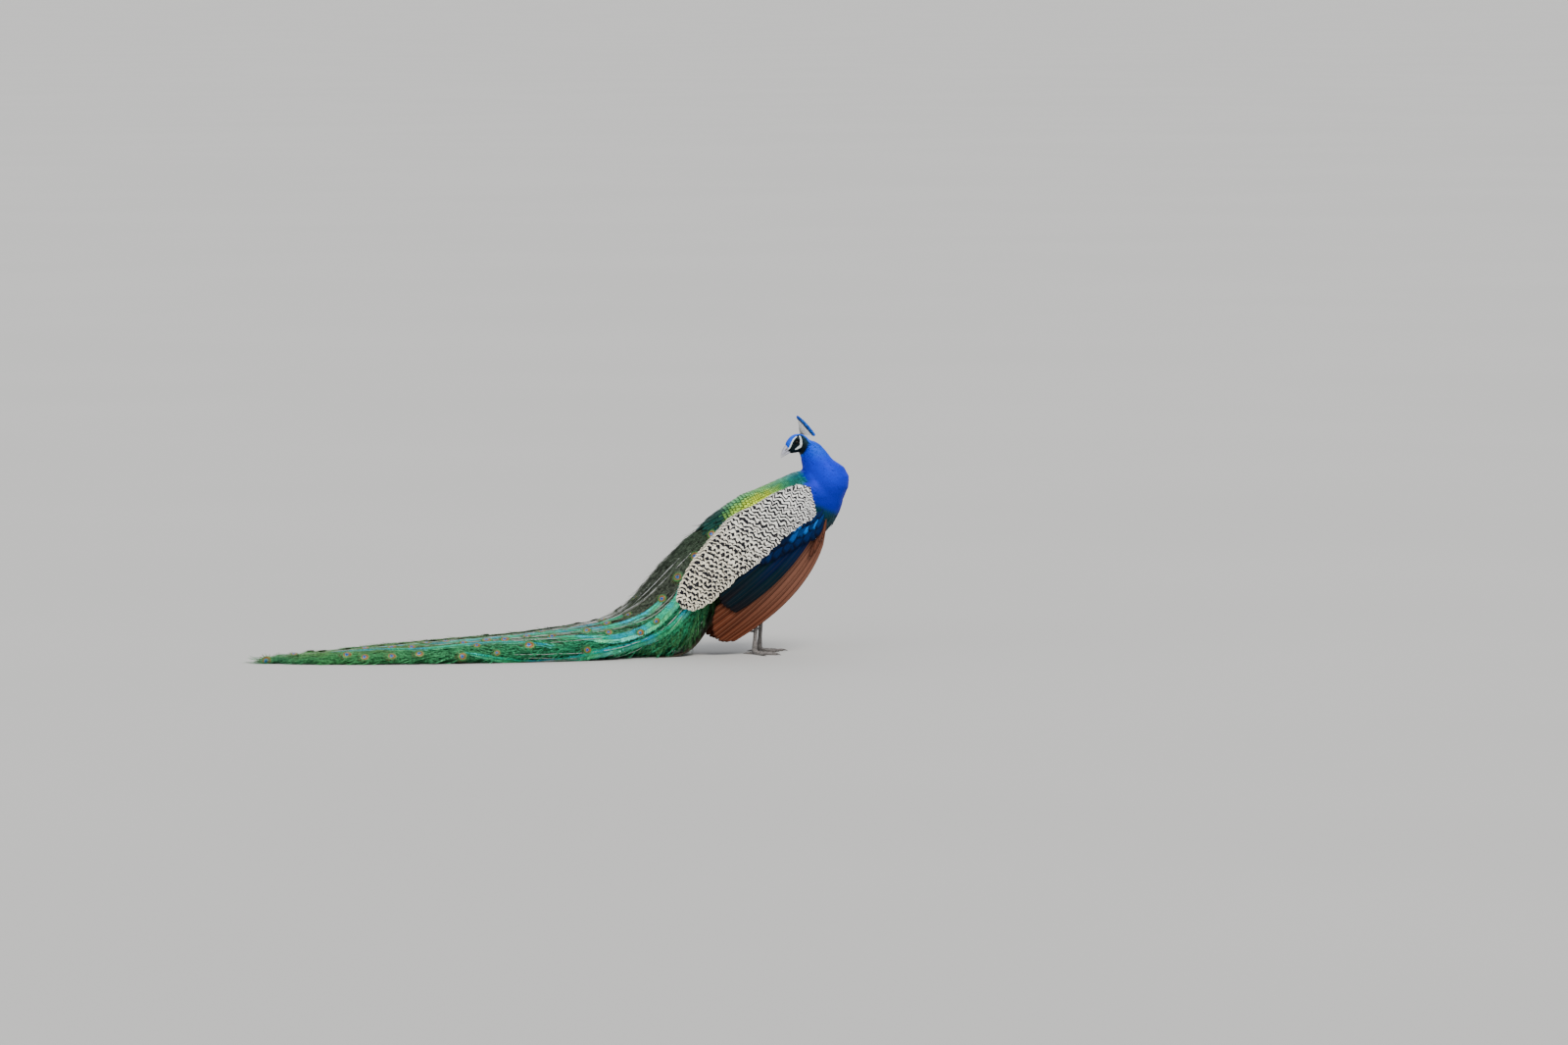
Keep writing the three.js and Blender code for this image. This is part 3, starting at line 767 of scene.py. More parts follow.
class FeatherTree(Wiring):
    """A Geometry Nodes tree that sets feathers on roots, each lying along the coat."""

    def __init__(self, sowing: Sowing) -> None:
        """Builds the tree.

        Args:
            sowing: STREWN spreads the roots over a surface, at least a spacing apart. ROWS uses
                the vertices that it is given.
        """
        self.sowing = sowing
        super().__init__(bpy.data.node_groups.new(f"feathers_{sowing.value}", "GeometryNodeTree"))
        face = self.tree.interface
        face.new_socket("Geometry", in_out="OUTPUT", socket_type="NodeSocketGeometry")
        kinds = {
            "Roots": "NodeSocketGeometry", "Feathers": "NodeSocketCollection",
            "Kinds": "NodeSocketInt", "Spacing": "NodeSocketFloat", "Density": "NodeSocketFloat",
            "Wander": "NodeSocketVector", "Spread": "NodeSocketFloat", "Patch": "NodeSocketFloat",
            "Seed": "NodeSocketInt", "Finish": "NodeSocketMaterial",
        }
        self.sockets = {}
        for label, kind in kinds.items():
            self.sockets[label] = face.new_socket(label, in_out="INPUT", socket_type=kind).identifier
        self._wire()

    def _kept(self, name: str, kind: str) -> Any:
        """A value kept on the geometry by name."""
        node = self.add("GeometryNodeInputNamedAttribute", {"data_type": kind}, Name=name)
        return next(s for s in node.outputs if s.enabled and s.name == "Attribute")

    def _vector(self, operation: str, a: Any, b: Any = None, scale: Any = None) -> Any:
        """One sum on vectors, or on a vector and a scale."""
        node = self.add("ShaderNodeVectorMath", {"operation": operation})
        self.put(node.inputs[0], a)
        if b is not None:
            self.put(node.inputs[1], b)
        if scale is not None:
            self.put(node.inputs["Scale"], scale)
        return node.outputs[0]

    def _wire(self) -> None:
        """Builds the nodes from the roots to the dressed coat."""
        given = self.tree.nodes.new("NodeGroupInput").outputs
        seed = given["Seed"]
        if self.sowing is Sowing.STREWN:
            roots = self.add(
                "GeometryNodeDistributePointsOnFaces", {"distribute_method": "POISSON"},
                Mesh=given["Roots"], Distance_Min=given["Spacing"], Density_Max=given["Density"],
                Density_Factor=self._kept("cover", "FLOAT"), Seed=seed,
            )
            points, up = roots.outputs["Points"], roots.outputs["Normal"]
        else:
            points, up = given["Roots"], self._kept("up", "FLOAT_VECTOR")
        lie = self.add(
            "FunctionNodeAxesToRotation", {"primary_axis": "Z", "secondary_axis": "X"},
            Primary_Axis=up, Secondary_Axis=self._kept("along", "FLOAT_VECTOR"),
        )
        turn = self.add(
            "FunctionNodeRandomValue", {"data_type": "FLOAT_VECTOR"},
            Min=self._vector("SCALE", given["Wander"], scale=-1.0), Max=given["Wander"], Seed=seed,
        )
        turned = self.add(
            "FunctionNodeRotateRotation", {"rotation_space": "LOCAL"}, Rotation=lie.outputs[0],
            Rotate_By=self._open(turn),
        )
        spread = given["Spread"]
        grown = self.add(
            "FunctionNodeRandomValue", {"data_type": "FLOAT"}, Min=self.minus(1.0, spread),
            Max=self.plus(1.0, spread), Seed=self.plus(seed, 1.0),
        )
        kind = self.add(
            "FunctionNodeRandomValue", {"data_type": "INT"}, Min=0,
            Max=self.minus(given["Kinds"], 1.0), Seed=self.plus(seed, 2.0),
        )
        shapes = self.add("GeometryNodeCollectionInfo", Collection=given["Feathers"])
        shapes.inputs["Separate Children"].default_value = True
        set_on = self.add(
            "GeometryNodeInstanceOnPoints", Points=points, Instance=shapes.outputs[0],
            Pick_Instance=True, Instance_Index=self._open(kind), Rotation=turned.outputs[0],
            Scale=self.times(self._open(grown), self._kept("size", "FLOAT")),
        )
        real = self.add("GeometryNodeRealizeInstances", Geometry=set_on.outputs[0])
        leaf = self._vector("SUBTRACT", self._kept(LEAF, "FLOAT_VECTOR"), (0.5, 0.5, 0.0))
        patch = self._vector("SCALE", leaf, scale=given["Patch"])
        place = self._vector("ADD", self._kept("unwrap", "FLOAT_VECTOR"), patch)
        mapped = self.add(
            "GeometryNodeStoreNamedAttribute", {"data_type": "FLOAT2", "domain": "CORNER"},
            Geometry=real.outputs[0], Name=UNWRAP, Value=place,
        )
        dressed = self.add("GeometryNodeSetMaterial", Geometry=mapped.outputs[0], Material=given["Finish"])
        out = self.tree.nodes.new("NodeGroupOutput")
        self.tree.links.new(dressed.outputs[0], out.inputs[0])

    def _open(self, node: Any) -> Any:
        """The first output that a node has in use."""
        return next(s for s in node.outputs if s.enabled)

    def grow(
        self, name: str, roots: bpy.types.Mesh, shapes: Sequence[Shape], finish: bpy.types.Material,
        spacing: float = 0.005, wander: tuple[float, float, float] = (0.05, 0.05, 0.1),
        spread: float = 0.12, seed: int = 1,
    ) -> bpy.types.Mesh:
        """Grows a coat and returns it as a plain mesh.

        Args:
            name: The coat's name.
            roots: A surface, or a vertex for each root. It keeps "along" and "size" at each
                vertex, "cover" on a surface, "up" for rows, and an unwrap.
            shapes: The feathers to choose from.
            finish: The coat's material.
            spacing: The least distance between strewn roots.
            wander: The most that a feather turns about its length, its width and its face.
            spread: How much the feathers differ in size.
            seed: The seed of all that is random.

        Returns:
            The coat's mesh.
        """
        chest = bpy.data.collections.new(f"{name}_shapes")
        made = []
        for i, shape in enumerate(shapes):
            made.append(bpy.data.objects.new(f"{name}_{i}", shape.mesh(f"{name}_{i}")))
            chest.objects.link(made[-1])
        holder = bpy.data.objects.new(f"{name}_roots", roots)
        bpy.context.scene.collection.objects.link(holder)
        modifier = holder.modifiers.new("feathers", "NODES")
        modifier.node_group = self.tree
        values = {
            "Feathers": chest, "Kinds": len(shapes), "Spacing": spacing,
            "Density": CROWDING / spacing**2, "Wander": wander, "Spread": spread,
            "Patch": TUFT_PATCH, "Seed": seed, "Finish": finish,
        }
        for label, value in values.items():
            modifier[self.sockets[label]] = value
        graph = bpy.context.evaluated_depsgraph_get()
        mesh = bpy.data.meshes.new_from_object(
            holder.evaluated_get(graph), preserve_all_data_layers=True, depsgraph=graph
        )
        mesh.name = name
        holder.modifiers.remove(modifier)
        bpy.data.objects.remove(holder)
        for item in made:
            bpy.data.objects.remove(item)
        bpy.data.collections.remove(chest)
        return mesh


@dataclass
class Root:
    """Where one feather of a row is set, with its colour and its place on the unwrap."""

    at: Array
    up: Array
    along: Array
    size: float
    tint: Array
    unwrap: tuple[float, float]
    reach: float = 0.0
    pitch: float = 1.0


def roots_mesh(roots: Sequence[Root]) -> bpy.types.Mesh:
    """Roots as a mesh of loose vertices."""
    mesh = bpy.data.meshes.new("roots")
    mesh.from_pydata([tuple(root.at) for root in roots], [], [])
    for name in ("up", "along", "size", "tint", "reach", "pitch"):
        paint(mesh, name, np.array([getattr(root, name) for root in roots]))
    paint(mesh, "unwrap", np.array([(*root.unwrap, 0.0) for root in roots]))
    return mesh


# ---- The bird's lines and markings --------------------------------------------------------------

SPINE = Path(
    mm(
        (118, -4, 576), (146, -4, 572), (171, -3, 535), (193, -1, 510), (201, 0, 484),
        (199, 0, 455), (186, 0, 425), (155, 0, 412), (102, 0, 391), (42, 0, 368), (-23, 0, 346),
        (-84, 0, 316), (-135, 0, 262),
    )
)


@dataclass(frozen=True)
class HeadFrame:
    """The head's own frame: +X to the bill, +Y to the bird's left, +Z to the crown."""

    centre: tuple[float, float, float] = (0.118, -0.004, 0.576)
    pitch: float = 25.0
    yaw: float = 186.0
    roll: float = 8.0

    def matrix(self) -> Array:
        """The frame's axes as the columns of a matrix."""
        turn = Euler([math.radians(a) for a in (self.roll, self.pitch, self.yaw)], "XYZ")
        return np.array(turn.to_matrix())

    def inside(self, points: Array) -> Array:
        """Points of the bird read in the head's frame."""
        return (points - np.array(self.centre)) @ self.matrix()

    def outside(self, points: Array) -> Array:
        """Points of the head's frame in the bird's."""
        return points @ self.matrix().T + np.array(self.centre)


HEAD = HeadFrame()


def line_gap(points: Array, line: Array) -> Array:
    """How far flat points are from a line.

    Args:
        points: The points, one row of two each.
        line: The line's corners.

    Returns:
        One distance for each point.
    """
    gaps = []
    for a, b in zip(line, line[1:]):
        run = b - a
        share = np.clip(((points - a) @ run) / (run @ run), 0, 1)
        gaps.append(np.linalg.norm(points - a - share[:, None] * run, axis=1))
    return np.min(gaps, axis=0)


def outline_gap(points: Array, outline: Array) -> Array:
    """How far flat points are outside a closed outline.

    Args:
        points: The points, one row of two each.
        outline: The outline's corners.

    Returns:
        One distance for each point, less than nothing inside the outline.
    """
    closed = np.vstack([outline, outline[:1]])
    inside = np.zeros(len(points), bool)
    for a, b in zip(closed, closed[1:]):
        crosses = (a[1] > points[:, 1]) != (b[1] > points[:, 1])
        rise = np.where(b[1] == a[1], 1.0, b[1] - a[1])
        inside ^= crosses & (points[:, 0] < a[0] + (b[0] - a[0]) * (points[:, 1] - a[1]) / rise)
    return np.where(inside, -1, 1) * line_gap(points, closed)


def foothold(
    surface: BVHTree, line: Path, share: float, angle: float, lean: float
) -> tuple[Array, Array, Array] | None:
    """A place on a skin round a line inside it.

    Args:
        surface: The skin.
        line: The line.
        share: How far along the line it is.
        angle: Degrees round the line from the top, towards the bird's left.
        lean: How far the way out follows the line's side more than the skin's, from 0 to 1.

    Returns:
        The place, the way out and the way along, or None where there is no skin.
    """
    middle, run = line.at(share), line.along(share)
    above = np.cross(run, LEFT)
    above = unit(above * np.sign(above[2]))
    turn = math.radians(angle)
    out = above * math.cos(turn) + LEFT * math.sin(turn)
    hit, normal, _, _ = surface.ray_cast(Vector(middle), Vector(out), RAY)
    if hit is None:
        return None
    up = unit(mix(np.array(normal), out, lean))
    return np.array(hit), up, unit(run - up * (run @ up))


class Plumage:
    """The colours of the skin and of the feathers over it, as functions of place."""

    azure = np.array([0.0, 0.110, 0.92])
    cobalt = np.array([0.0, 0.018, 0.72])
    royal = np.array([0.0, 0.010, 0.36])
    teal = np.array([0.001, 0.035, 0.06])
    black_green = np.array([0.001, 0.012, 0.016])
    bare_white = np.array([0.80, 0.87, 0.86])
    brow_line = mm((35.7, -4.6), (25.4, 0.5), (14.6, 10.1), (6.8, 15.4), (-0.7, 17.9), (-5, 18.6))
    # Places along the head, and the line's half width there.
    brow_widths = mm((-5, 2, 20, 34), (1.1, 1.8, 1.7, 2.1))
    cheek_line = mm((-13.5, 14.5), (-11.9, 7.4), (-7.3, -2.5), (-1.3, -9.3), (6.7, -10.9), (13.6, -11.6))
    cheek_widths = mm((-14, -12, -8, 0, 7, 14), (1.9, 2.7, 3.8, 3.8, 2.8, 1.3))
    mask = mm(
        (40, -2), (25.4, 0.5), (14.6, 10.1), (6.8, 15.4), (-0.7, 18.4), (-9, 20.8), (-16, 18.4),
        (-21.4, 12.1), (-25.6, 0.7), (-26.3, -11.5), (-24, -20), (-14, -26), (4, -31), (40, -31),
    )
    eye = mm((3, 4.8))[0]

    def head(self, points: Array) -> Array:
        """Colours on the head.

        Args:
            points: Places in the head's frame.

        Returns:
            One colour for each.
        """
        side = points[:, [0, 2]]
        x, y, _ = points.T
        sheen = 0.5 + 0.5 * waves(points, 0.012, 8)
        crown = mix(self.azure * [1, 0.85, 0.92], self.azure * [1, 1.1, 1], sheen[:, None])
        masked = 1 - eased((outline_gap(side, self.mask) + 1.0 * MM) / (2.2 * MM))
        rear = eased((-x - 8 * MM) / (16 * MM))
        black = mix(self.black_green * 0.6, self.teal * 0.7, rear[:, None])
        colour = mix(crown, black, masked[:, None])
        brow_width = np.interp(x, *self.brow_widths)
        cheek_width = np.interp(x, *self.cheek_widths)
        outer = np.abs(y) > 4 * MM
        brow = (line_gap(side, self.brow_line) < brow_width) & outer
        cheek = (line_gap(side, self.cheek_line) < cheek_width) & outer
        colour[brow | cheek] = self.bare_white
        return colour

    def bare(self, points: Array) -> Array:
        """How bare the face is at places in the head's frame, from 0 to 1."""
        side = points[:, [0, 2]]
        outer = np.abs(points[:, 1]) > 4 * MM
        brow = line_gap(side, self.brow_line) - 2.0 * MM
        gap = np.minimum(brow, line_gap(side, self.cheek_line) - 3.4 * MM)
        eye = np.linalg.norm(side - self.eye, axis=1) - 6.6 * MM
        bill = 33.5 * MM - points[:, 0]
        return np.where(outer, 1 - eased(np.minimum(gap, eye) / (1 * MM)), 0) + 1 - eased(bill / (2 * MM))

    def body(self, points: Array) -> Array:
        """Colours on the neck, breast and trunk.

        Args:
            points: Places on the bird.

        Returns:
            One colour for each.
        """
        x, _, z = points.T
        ripple = waves(points, 0.05, 3)
        glow = waves(points, 0.09, 6)
        # Painted light and shade over the neck's own blue: darker royal low down and on the throat as painted
        # shade, and lighter azure high on the neck towards the head as painted light.
        blue = mix(self.royal, self.cobalt, eased((z - 0.435 + 0.012 * glow) / 0.07)[:, None])
        light = eased((z - 0.525 + 0.3 * (x - 0.16) + 0.008 * glow) / 0.05) * eased((x - 0.125) / 0.04)
        blue = mix(blue, self.azure, 0.75 * light[:, None])
        throat_shade = eased((0.150 - x - 0.35 * (z - 0.50)) / 0.02) * eased((z - 0.455) / 0.03)
        blue = mix(blue, self.royal * [1, 1.2, 0.9], 0.75 * throat_shade[:, None])
        low = eased((0.418 - z + 0.35 * (0.19 - x) + 0.004 * ripple) / 0.028)
        blue = mix(blue, self.teal * [1, 1.1, 0.9], low[:, None])
        belly = eased((0.335 - z) / 0.04)
        blue = mix(blue, self.black_green, belly[:, None])
        return mix(blue, self.back(points), self.on_back(points)[:, None])

    def on_back(self, points: Array) -> Array:
        """How far places lie on the scaled back, from 0 to 1."""
        x, _, z = points.T
        edge = 0.128 + 0.45 * (0.487 - z)
        return eased((edge - x) / 0.008 + 0.5) * eased((0.512 - z) / 0.012) * eased((z - 0.30) / 0.02)

    def back(self, points: Array) -> Array:
        """Colours of the scaled back: teal at the neck, then green, gold lower down, and green.

        Args:
            points: Places on the bird.

        Returns:
            One colour for each.
        """
        x = points[:, 0] + 0.006 * waves(points, 0.04, 5)
        stops = mm((-100, -60, -20, 30, 72, 100, 135))[0]
        ridge = (
            (0.02, 0.10, 0.06), (0.07, 0.34, 0.12), (0.13, 0.50, 0.14), (0.20, 0.56, 0.12),
            (0.05, 0.38, 0.19), (0.008, 0.24, 0.22), (0.003, 0.15, 0.21),
        )
        flank = (
            (0.05, 0.16, 0.05), (0.26, 0.48, 0.06), (0.50, 0.66, 0.03), (0.56, 0.68, 0.03),
            (0.10, 0.40, 0.10), (0.015, 0.20, 0.12), (0.004, 0.10, 0.10),
        )
        aside = eased((np.abs(points[:, 1]) - 0.022 + 0.006 * waves(points, 0.03, 2)) / 0.03)
        return mix(read(ridge, stops, x), read(flank, stops, x), aside[:, None])

    def thigh(self, points: Array) -> Array:
        """Colours of the thighs, buff below and dark by the body."""
        share = eased((0.30 - points[:, 2]) / 0.06)
        return mix(self.black_green * 2, (0.30, 0.23, 0.14), share[:, None])


PLUMAGE = Plumage()


# ---- Skin --------------------------------------------------------------------------------------


class Skin:
    """One skin over flesh, from the solids that it replaces."""

    def __init__(self, stage: Stage, nodes: Sequence[str], voxel: float, rounds: int) -> None:
        """Wraps the solids.

        Args:
            stage: Where the CAD nodes are read.
            nodes: The nodes that the skin stands for.
            voxel: The size of its faces.
            rounds: How often it is smoothed.
        """
        self.nodes = tuple(nodes)
        points, faces = stage.solid(*nodes)
        mesh = bpy.data.meshes.new("wrap")
        mesh.from_pydata(points.tolist(), [], faces.tolist())
        self._swell(mesh, 0.0005)
        holder = bpy.data.objects.new("wrap", mesh)
        bpy.context.scene.collection.objects.link(holder)
        remesh = holder.modifiers.new("remesh", "REMESH")
        remesh.mode = "VOXEL"
        remesh.voxel_size = voxel
        relax = holder.modifiers.new("relax", "SMOOTH")
        relax.factor = 0.5
        relax.iterations = rounds
        graph = bpy.context.evaluated_depsgraph_get()
        self.mesh = bpy.data.meshes.new_from_object(holder.evaluated_get(graph), depsgraph=graph)
        bpy.data.objects.remove(holder)
        self._keep_largest()

    def _swell(self, mesh: bpy.types.Mesh, by: float) -> None:
        """Closes the cuts between neighbouring solids.

        Args:
            mesh: The solids, as one mesh of loose faces.
            by: How far each vertex is moved outwards.
        """
        cage = bmesh.new()
        cage.from_mesh(mesh)
        bmesh.ops.remove_doubles(cage, verts=cage.verts, dist=1e-6)
        cage.normal_update()
        for vertex in cage.verts:
            vertex.co += vertex.normal * by
        cage.to_mesh(mesh)
        cage.free()

    def _keep_largest(self) -> None:
        """Drops the small shells left inside the wrap."""
        cage = bmesh.new()
        cage.from_mesh(self.mesh)
        seen: set[int] = set()
        shells = []
        for seed in cage.verts:
            if seed.index in seen:
                continue
            seen.add(seed.index)
            shell, queue = [], [seed]
            while queue:
                vertex = queue.pop()
                shell.append(vertex)
                for edge in vertex.link_edges:
                    other = edge.other_vert(vertex)
                    if other.index not in seen:
                        seen.add(other.index)
                        queue.append(other)
            shells.append(shell)
        shells.sort(key=len)
        for shell in shells[:-1]:
            bmesh.ops.delete(cage, geom=shell, context="VERTS")
        cage.to_mesh(self.mesh)
        cage.free()

    def refine(self, inside: Callable[[Array], Array], rounds: int) -> None:
        """Splits the faces where a function of place says so.

        Args:
            inside: Which of some points lie where the skin is finer.
            rounds: How often each face there is split in four.
        """
        for _ in range(rounds):
            near = inside(coordinates(self.mesh))
            cage = bmesh.new()
            cage.from_mesh(self.mesh)
            edges = [e for e in cage.edges if near[e.verts[0].index] and near[e.verts[1].index]]
            bmesh.ops.subdivide_edges(cage, edges=edges, cuts=1, use_grid_fill=True, smooth=0.5)
            bmesh.ops.triangulate(cage, faces=[f for f in cage.faces if len(f.verts) > 4])
            cage.to_mesh(self.mesh)
            cage.free()

    def relax(self, where: Callable[[Array], Array], rounds: int, back: float = -0.515) -> None:
        """Rounds off the solids' facets without making the whole smaller.

        Args:
            where: How far places are rounded off, from 0 to 1.
            rounds: How often.
            back: How far every second step goes back, which keeps the size.
        """
        points = coordinates(self.mesh)
        ends = np.empty(len(self.mesh.edges) * 2, np.int32)
        self.mesh.edges.foreach_get("vertices", ends)
        others = ends.reshape(-1, 2)[:, ::-1].ravel()
        count = np.bincount(ends, minlength=len(points))[:, None]
        share = where(points)[:, None]
        for k in range(2 * rounds):
            total = [np.bincount(ends, points[others, axis], len(points)) for axis in range(3)]
            points = points + (back if k % 2 else 0.5) * share * (np.column_stack(total) / count - points)
        move_points(self.mesh, points)

    def sink(self, depth: Array) -> None:
        """Moves the skin inwards by a depth at each vertex."""
        move_points(self.mesh, coordinates(self.mesh) - normals(self.mesh) * depth[:, None])

    def mark(self, along: Array, colour: Array) -> None:
        """Keeps the lie and the colour of the coat at every vertex, with no coat set yet."""
        count = len(self.mesh.vertices)
        paint(self.mesh, "along", along)
        paint(self.mesh, "tint", colour)
        paint(self.mesh, "size", np.ones(count))
        paint(self.mesh, "cover", np.zeros(count))

    def coated(self, cover: Array, size: Any = 1.0) -> bpy.types.Mesh:
        """The skin with a coat's cover and size set on it."""
        repaint(self.mesh, "cover", cover)
        repaint(self.mesh, "size", np.broadcast_to(size, cover.shape))
        return self.mesh

    def surface(self) -> BVHTree:
        """The skin as a tree for rays."""
        faces = [tuple(p.vertices) for p in self.mesh.polygons]
        return BVHTree.FromPolygons([Vector(c) for c in coordinates(self.mesh)], faces)


HEAD_PLUMES = FeatherFinish(
    "head_plumes", 0.48, 0.2, 0.2, (0.0, 0.02, 0.06), barbs=4, flecks=0.12, relief=0.00002
)
NECK_PLUMES = FeatherFinish(
    "neck_plumes", 0.5, 0.16, 0.30, (0.0, 0.020, 0.26), barbs=7, flecks=0.12, relief=0.00003
)
BELLY_PLUMES = FeatherFinish("belly_plumes", 0.5, 0.35, 0.4, (0.0, 0.004, 0.006))
THIGH_PLUMES = FeatherFinish("thigh_plumes", 0.8, 0.0, 0.3, (0.10, 0.07, 0.04))


@dataclass
class Coat:
    """A coat of feathers strewn over the body's skin.

    Attributes:
        name: Where on the body it is.
        cover: How thickly it covers each vertex of the skin, from 0 to 1.
        size: How large its feathers are, for the whole coat or at each vertex.
        finish: Its finish.
        spacing: The least distance between its roots.
        shapes: Its feathers.
        slot: The record's slot, handed on with the coat.
    """

    name: str
    cover: Array
    size: Any
    finish: FeatherFinish
    spacing: float
    shapes: list[Shape]
    slot: str = "neck_feathers"


@dataclass
class Body:
    """The skin over the head, neck, trunk and thighs, and the feathers on it."""

    stage: Stage
    strewn: FeatherTree
    rows: FeatherTree
    voxel: float = 0.0027
    eye_centres: list[Array] = field(default_factory=list)

    def build(self) -> None:
        """Makes the skin and its coats."""
        nodes = ("head", "neck_upper", "neck_lower", "breast", "trunk", "thigh_left", "thigh_right")
        self.skin = Skin(self.stage, nodes, self.voxel, 5)
        self.skin.relax(lambda p: 1 - self._headness(p), 60)
        self.skin.relax(lambda p: (1 - self._headness(p)) * eased((p[:, 2] - 0.36) / 0.04), 22, 0.0)
        self.skin.refine(lambda p: np.linalg.norm(HEAD.inside(p) / [1.1, 1, 1], axis=1) < 0.040, 2)
        for side in ("left", "right"):
            low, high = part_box(f"eye_{side}")
            self.eye_centres.append(np.array((low + high) / 2 - self.stage.origin))
        self.skin.sink(self._depth(coordinates(self.skin.mesh)))
        self._shape_face()
        self._mark()
        self._coats()
        self.surface = self.skin.surface()
        self.stage.show("skin", self.skin.mesh, SkinFinish().material(), "neck_feathers", nodes)

    def _headness(self, points: Array) -> Array:
        """How far places belong to the head, from 0 to 1."""
        inside = HEAD.inside(points)
        return 1 - eased((np.linalg.norm(inside / [1.15, 1, 1.05], axis=1) - 0.026) / 0.014)

    def _thighness(self, points: Array) -> Array:
        """How far places belong to the thighs, from 0 to 1."""
        return eased((0.262 - points[:, 2]) / 0.03)

    def _depth(self, points: Array) -> Array:
        """How deep the skin lies below the solids' faces, for the feathers over it."""
        depth = mix(0.0042, 0.0026, eased((points[:, 2] - 0.40) / 0.08))
        depth = mix(depth, 0.0010, self._headness(points))
        return mix(depth, 0.0035, self._thighness(points))

    def _shape_face(self) -> None:
        """Opens the eyes between their lids, and sets the brow and cheek."""
        points = HEAD.inside(coordinates(self.skin.mesh))
        for centre in self.eye_centres:
            middle = HEAD.inside(centre[None])[0]
            side = np.sign(middle[1])
            flat = points[:, [0, 2]] - middle[[0, 2]]
            gap = np.linalg.norm(flat / [1.0, 0.86], axis=1)
            near = (points[:, 1] * side > 0.004) & (gap < 0.016)
            ball = np.sqrt(np.maximum(0.0052**2 - np.minimum(gap, 0.0052) ** 2, 0))
            front = abs(middle[1]) + ball
            out = points[:, 1] * side
            brow = 0.0014 * np.exp(-(((gap - 0.0082) / 0.0022) ** 2)) * (flat[:, 1] > -0.004)
            lid = 0.0007 * np.exp(-(((gap - 0.0049) / 0.0009) ** 2))
            socket = abs(middle[1]) + np.where(gap < 0.0040, -0.001, ball + 0.0004)
            share = 1 - eased((gap - 0.0050) / 0.0045)
            shaped = mix(out, np.where(gap < 0.0040, socket, front + 0.0003), share) + brow + lid
            points[near, 1] = (side * shaped)[near]
        move_points(self.skin.mesh, HEAD.outside(points))

    def _mark(self) -> None:
        """Keeps the lie, size, colour and unwrap of the coat at every vertex of the skin."""
        mesh = self.skin.mesh
        points, facing = coordinates(mesh), normals(mesh)
        share, _ = SPINE.nearest(points)
        along = SPINE.along(share)
        head = self._headness(points)[:, None]
        inside = HEAD.inside(points)
        from_bill = inside - np.array([0.040, 0, -0.004])
        along = unit(mix(along, from_bill @ HEAD.matrix().T, head))
        thigh = self._thighness(points)[:, None]
        along = unit(mix(along, (-0.1, 0, -1.0), thigh))
        along = unit(along - facing * (along * facing).sum(1, keepdims=True))
        self.points, self.head, self.thigh, self.share = points, head[:, 0], thigh[:, 0], share
        colour = mix(PLUMAGE.body(points), PLUMAGE.head(inside), eased(head * 2 - 0.5))
        self.tint = mix(colour, PLUMAGE.thigh(points), thigh)
        self.skin.mark(along, self.tint)
        self._unwrap(mesh, points, share)

    def _unwrap(self, mesh: bpy.types.Mesh, points: Array, share: Array) -> None:
        """Lays the skin out by its length along the spine and the angle about it.

        Args:
            mesh: The skin.
            points: Its vertices.
            share: How far along the spine each of them lies.
        """
        middle, run = SPINE.at(share), SPINE.along(share)
        aside = unit(np.cross(LEFT, run))
        off = points - middle
        angle = np.arctan2(off[:, 1], (off * aside).sum(1)) / math.tau + 0.5
        corners = corner_vertices(mesh)
        totals = np.empty(len(mesh.polygons), np.int32)
        mesh.polygons.foreach_get("loop_total", totals)
        face = np.repeat(np.arange(len(totals)), totals)
        around = angle[corners]
        first = around[np.r_[0, np.cumsum(totals)[:-1]]][face]
        around = around + (first - around > 0.5) * 1.0 - (around - first > 0.5) * 1.0
        lay_out(mesh, "unwrap", np.column_stack([0.04 + 0.92 * around, 0.02 + 0.96 * share[corners]]))

    def _coats(self) -> None:
        """Grows the feathers of the head, neck, breast, flanks and thighs."""
        points, head = self.points, self.head
        inside = HEAD.inside(points)
        bare = np.clip(PLUMAGE.bare(inside), 0, 1)
        z = points[:, 2]
        body, upper, on_back = head < 0.75, eased((z - 0.375) / 0.02), PLUMAGE.on_back(points)
        low = body * (1 - on_back) * (1 - upper) * (self.thigh < 0.6)
        buff = vane(0.016, 0.007, 0.14)
        coats = (
            Coat("head", (head > 0.5) * (1 - bare), 1.0, HEAD_PLUMES, 0.00125, [vane(0.0034, 0.0022, 0.12)]),
            Coat(
                "neck", body * (on_back < 0.97) * upper, mix(0.62, 1.1, eased((0.57 - z) / 0.13)),
                NECK_PLUMES, 0.0029,
                [vane(0.0115, 0.0070, 0.135, 0.06, 0.06), vane(0.0105, 0.0064, 0.140, 0.06, 0.06)],
            ),
            Coat("breast", low, 1.0, BELLY_PLUMES, 0.0055, [vane(0.022, 0.012, 0.12, 0.05)]),
            Coat("thigh", (self.thigh > 0.5) * 1.0, 1.0, THIGH_PLUMES, 0.0045, [buff], "thigh_feathers"),
        )
        for coat in coats:
            name = f"{coat.name}_feathers"
            roots, finish = self.skin.coated(coat.cover, coat.size), coat.finish.material()
            wander, spread, seed = (0.03, 0.02, 0.10), 0.1, 7
            mesh = self.strewn.grow(name, roots, coat.shapes, finish, coat.spacing, wander, spread, seed)
            self.stage.show(name, mesh, None, coat.slot)
        # Painted shade: the skin under the feathers is painted at 0.62 of their colour, as the shade that
        # they cast on it; the bare face keeps its full colour.
        repaint(self.skin.mesh, "tint", self.tint * mix(0.62, 1, bare * (head > 0.5))[:, None])


# ---- Eyes, bill and crest ----------------------------------------------------------------------


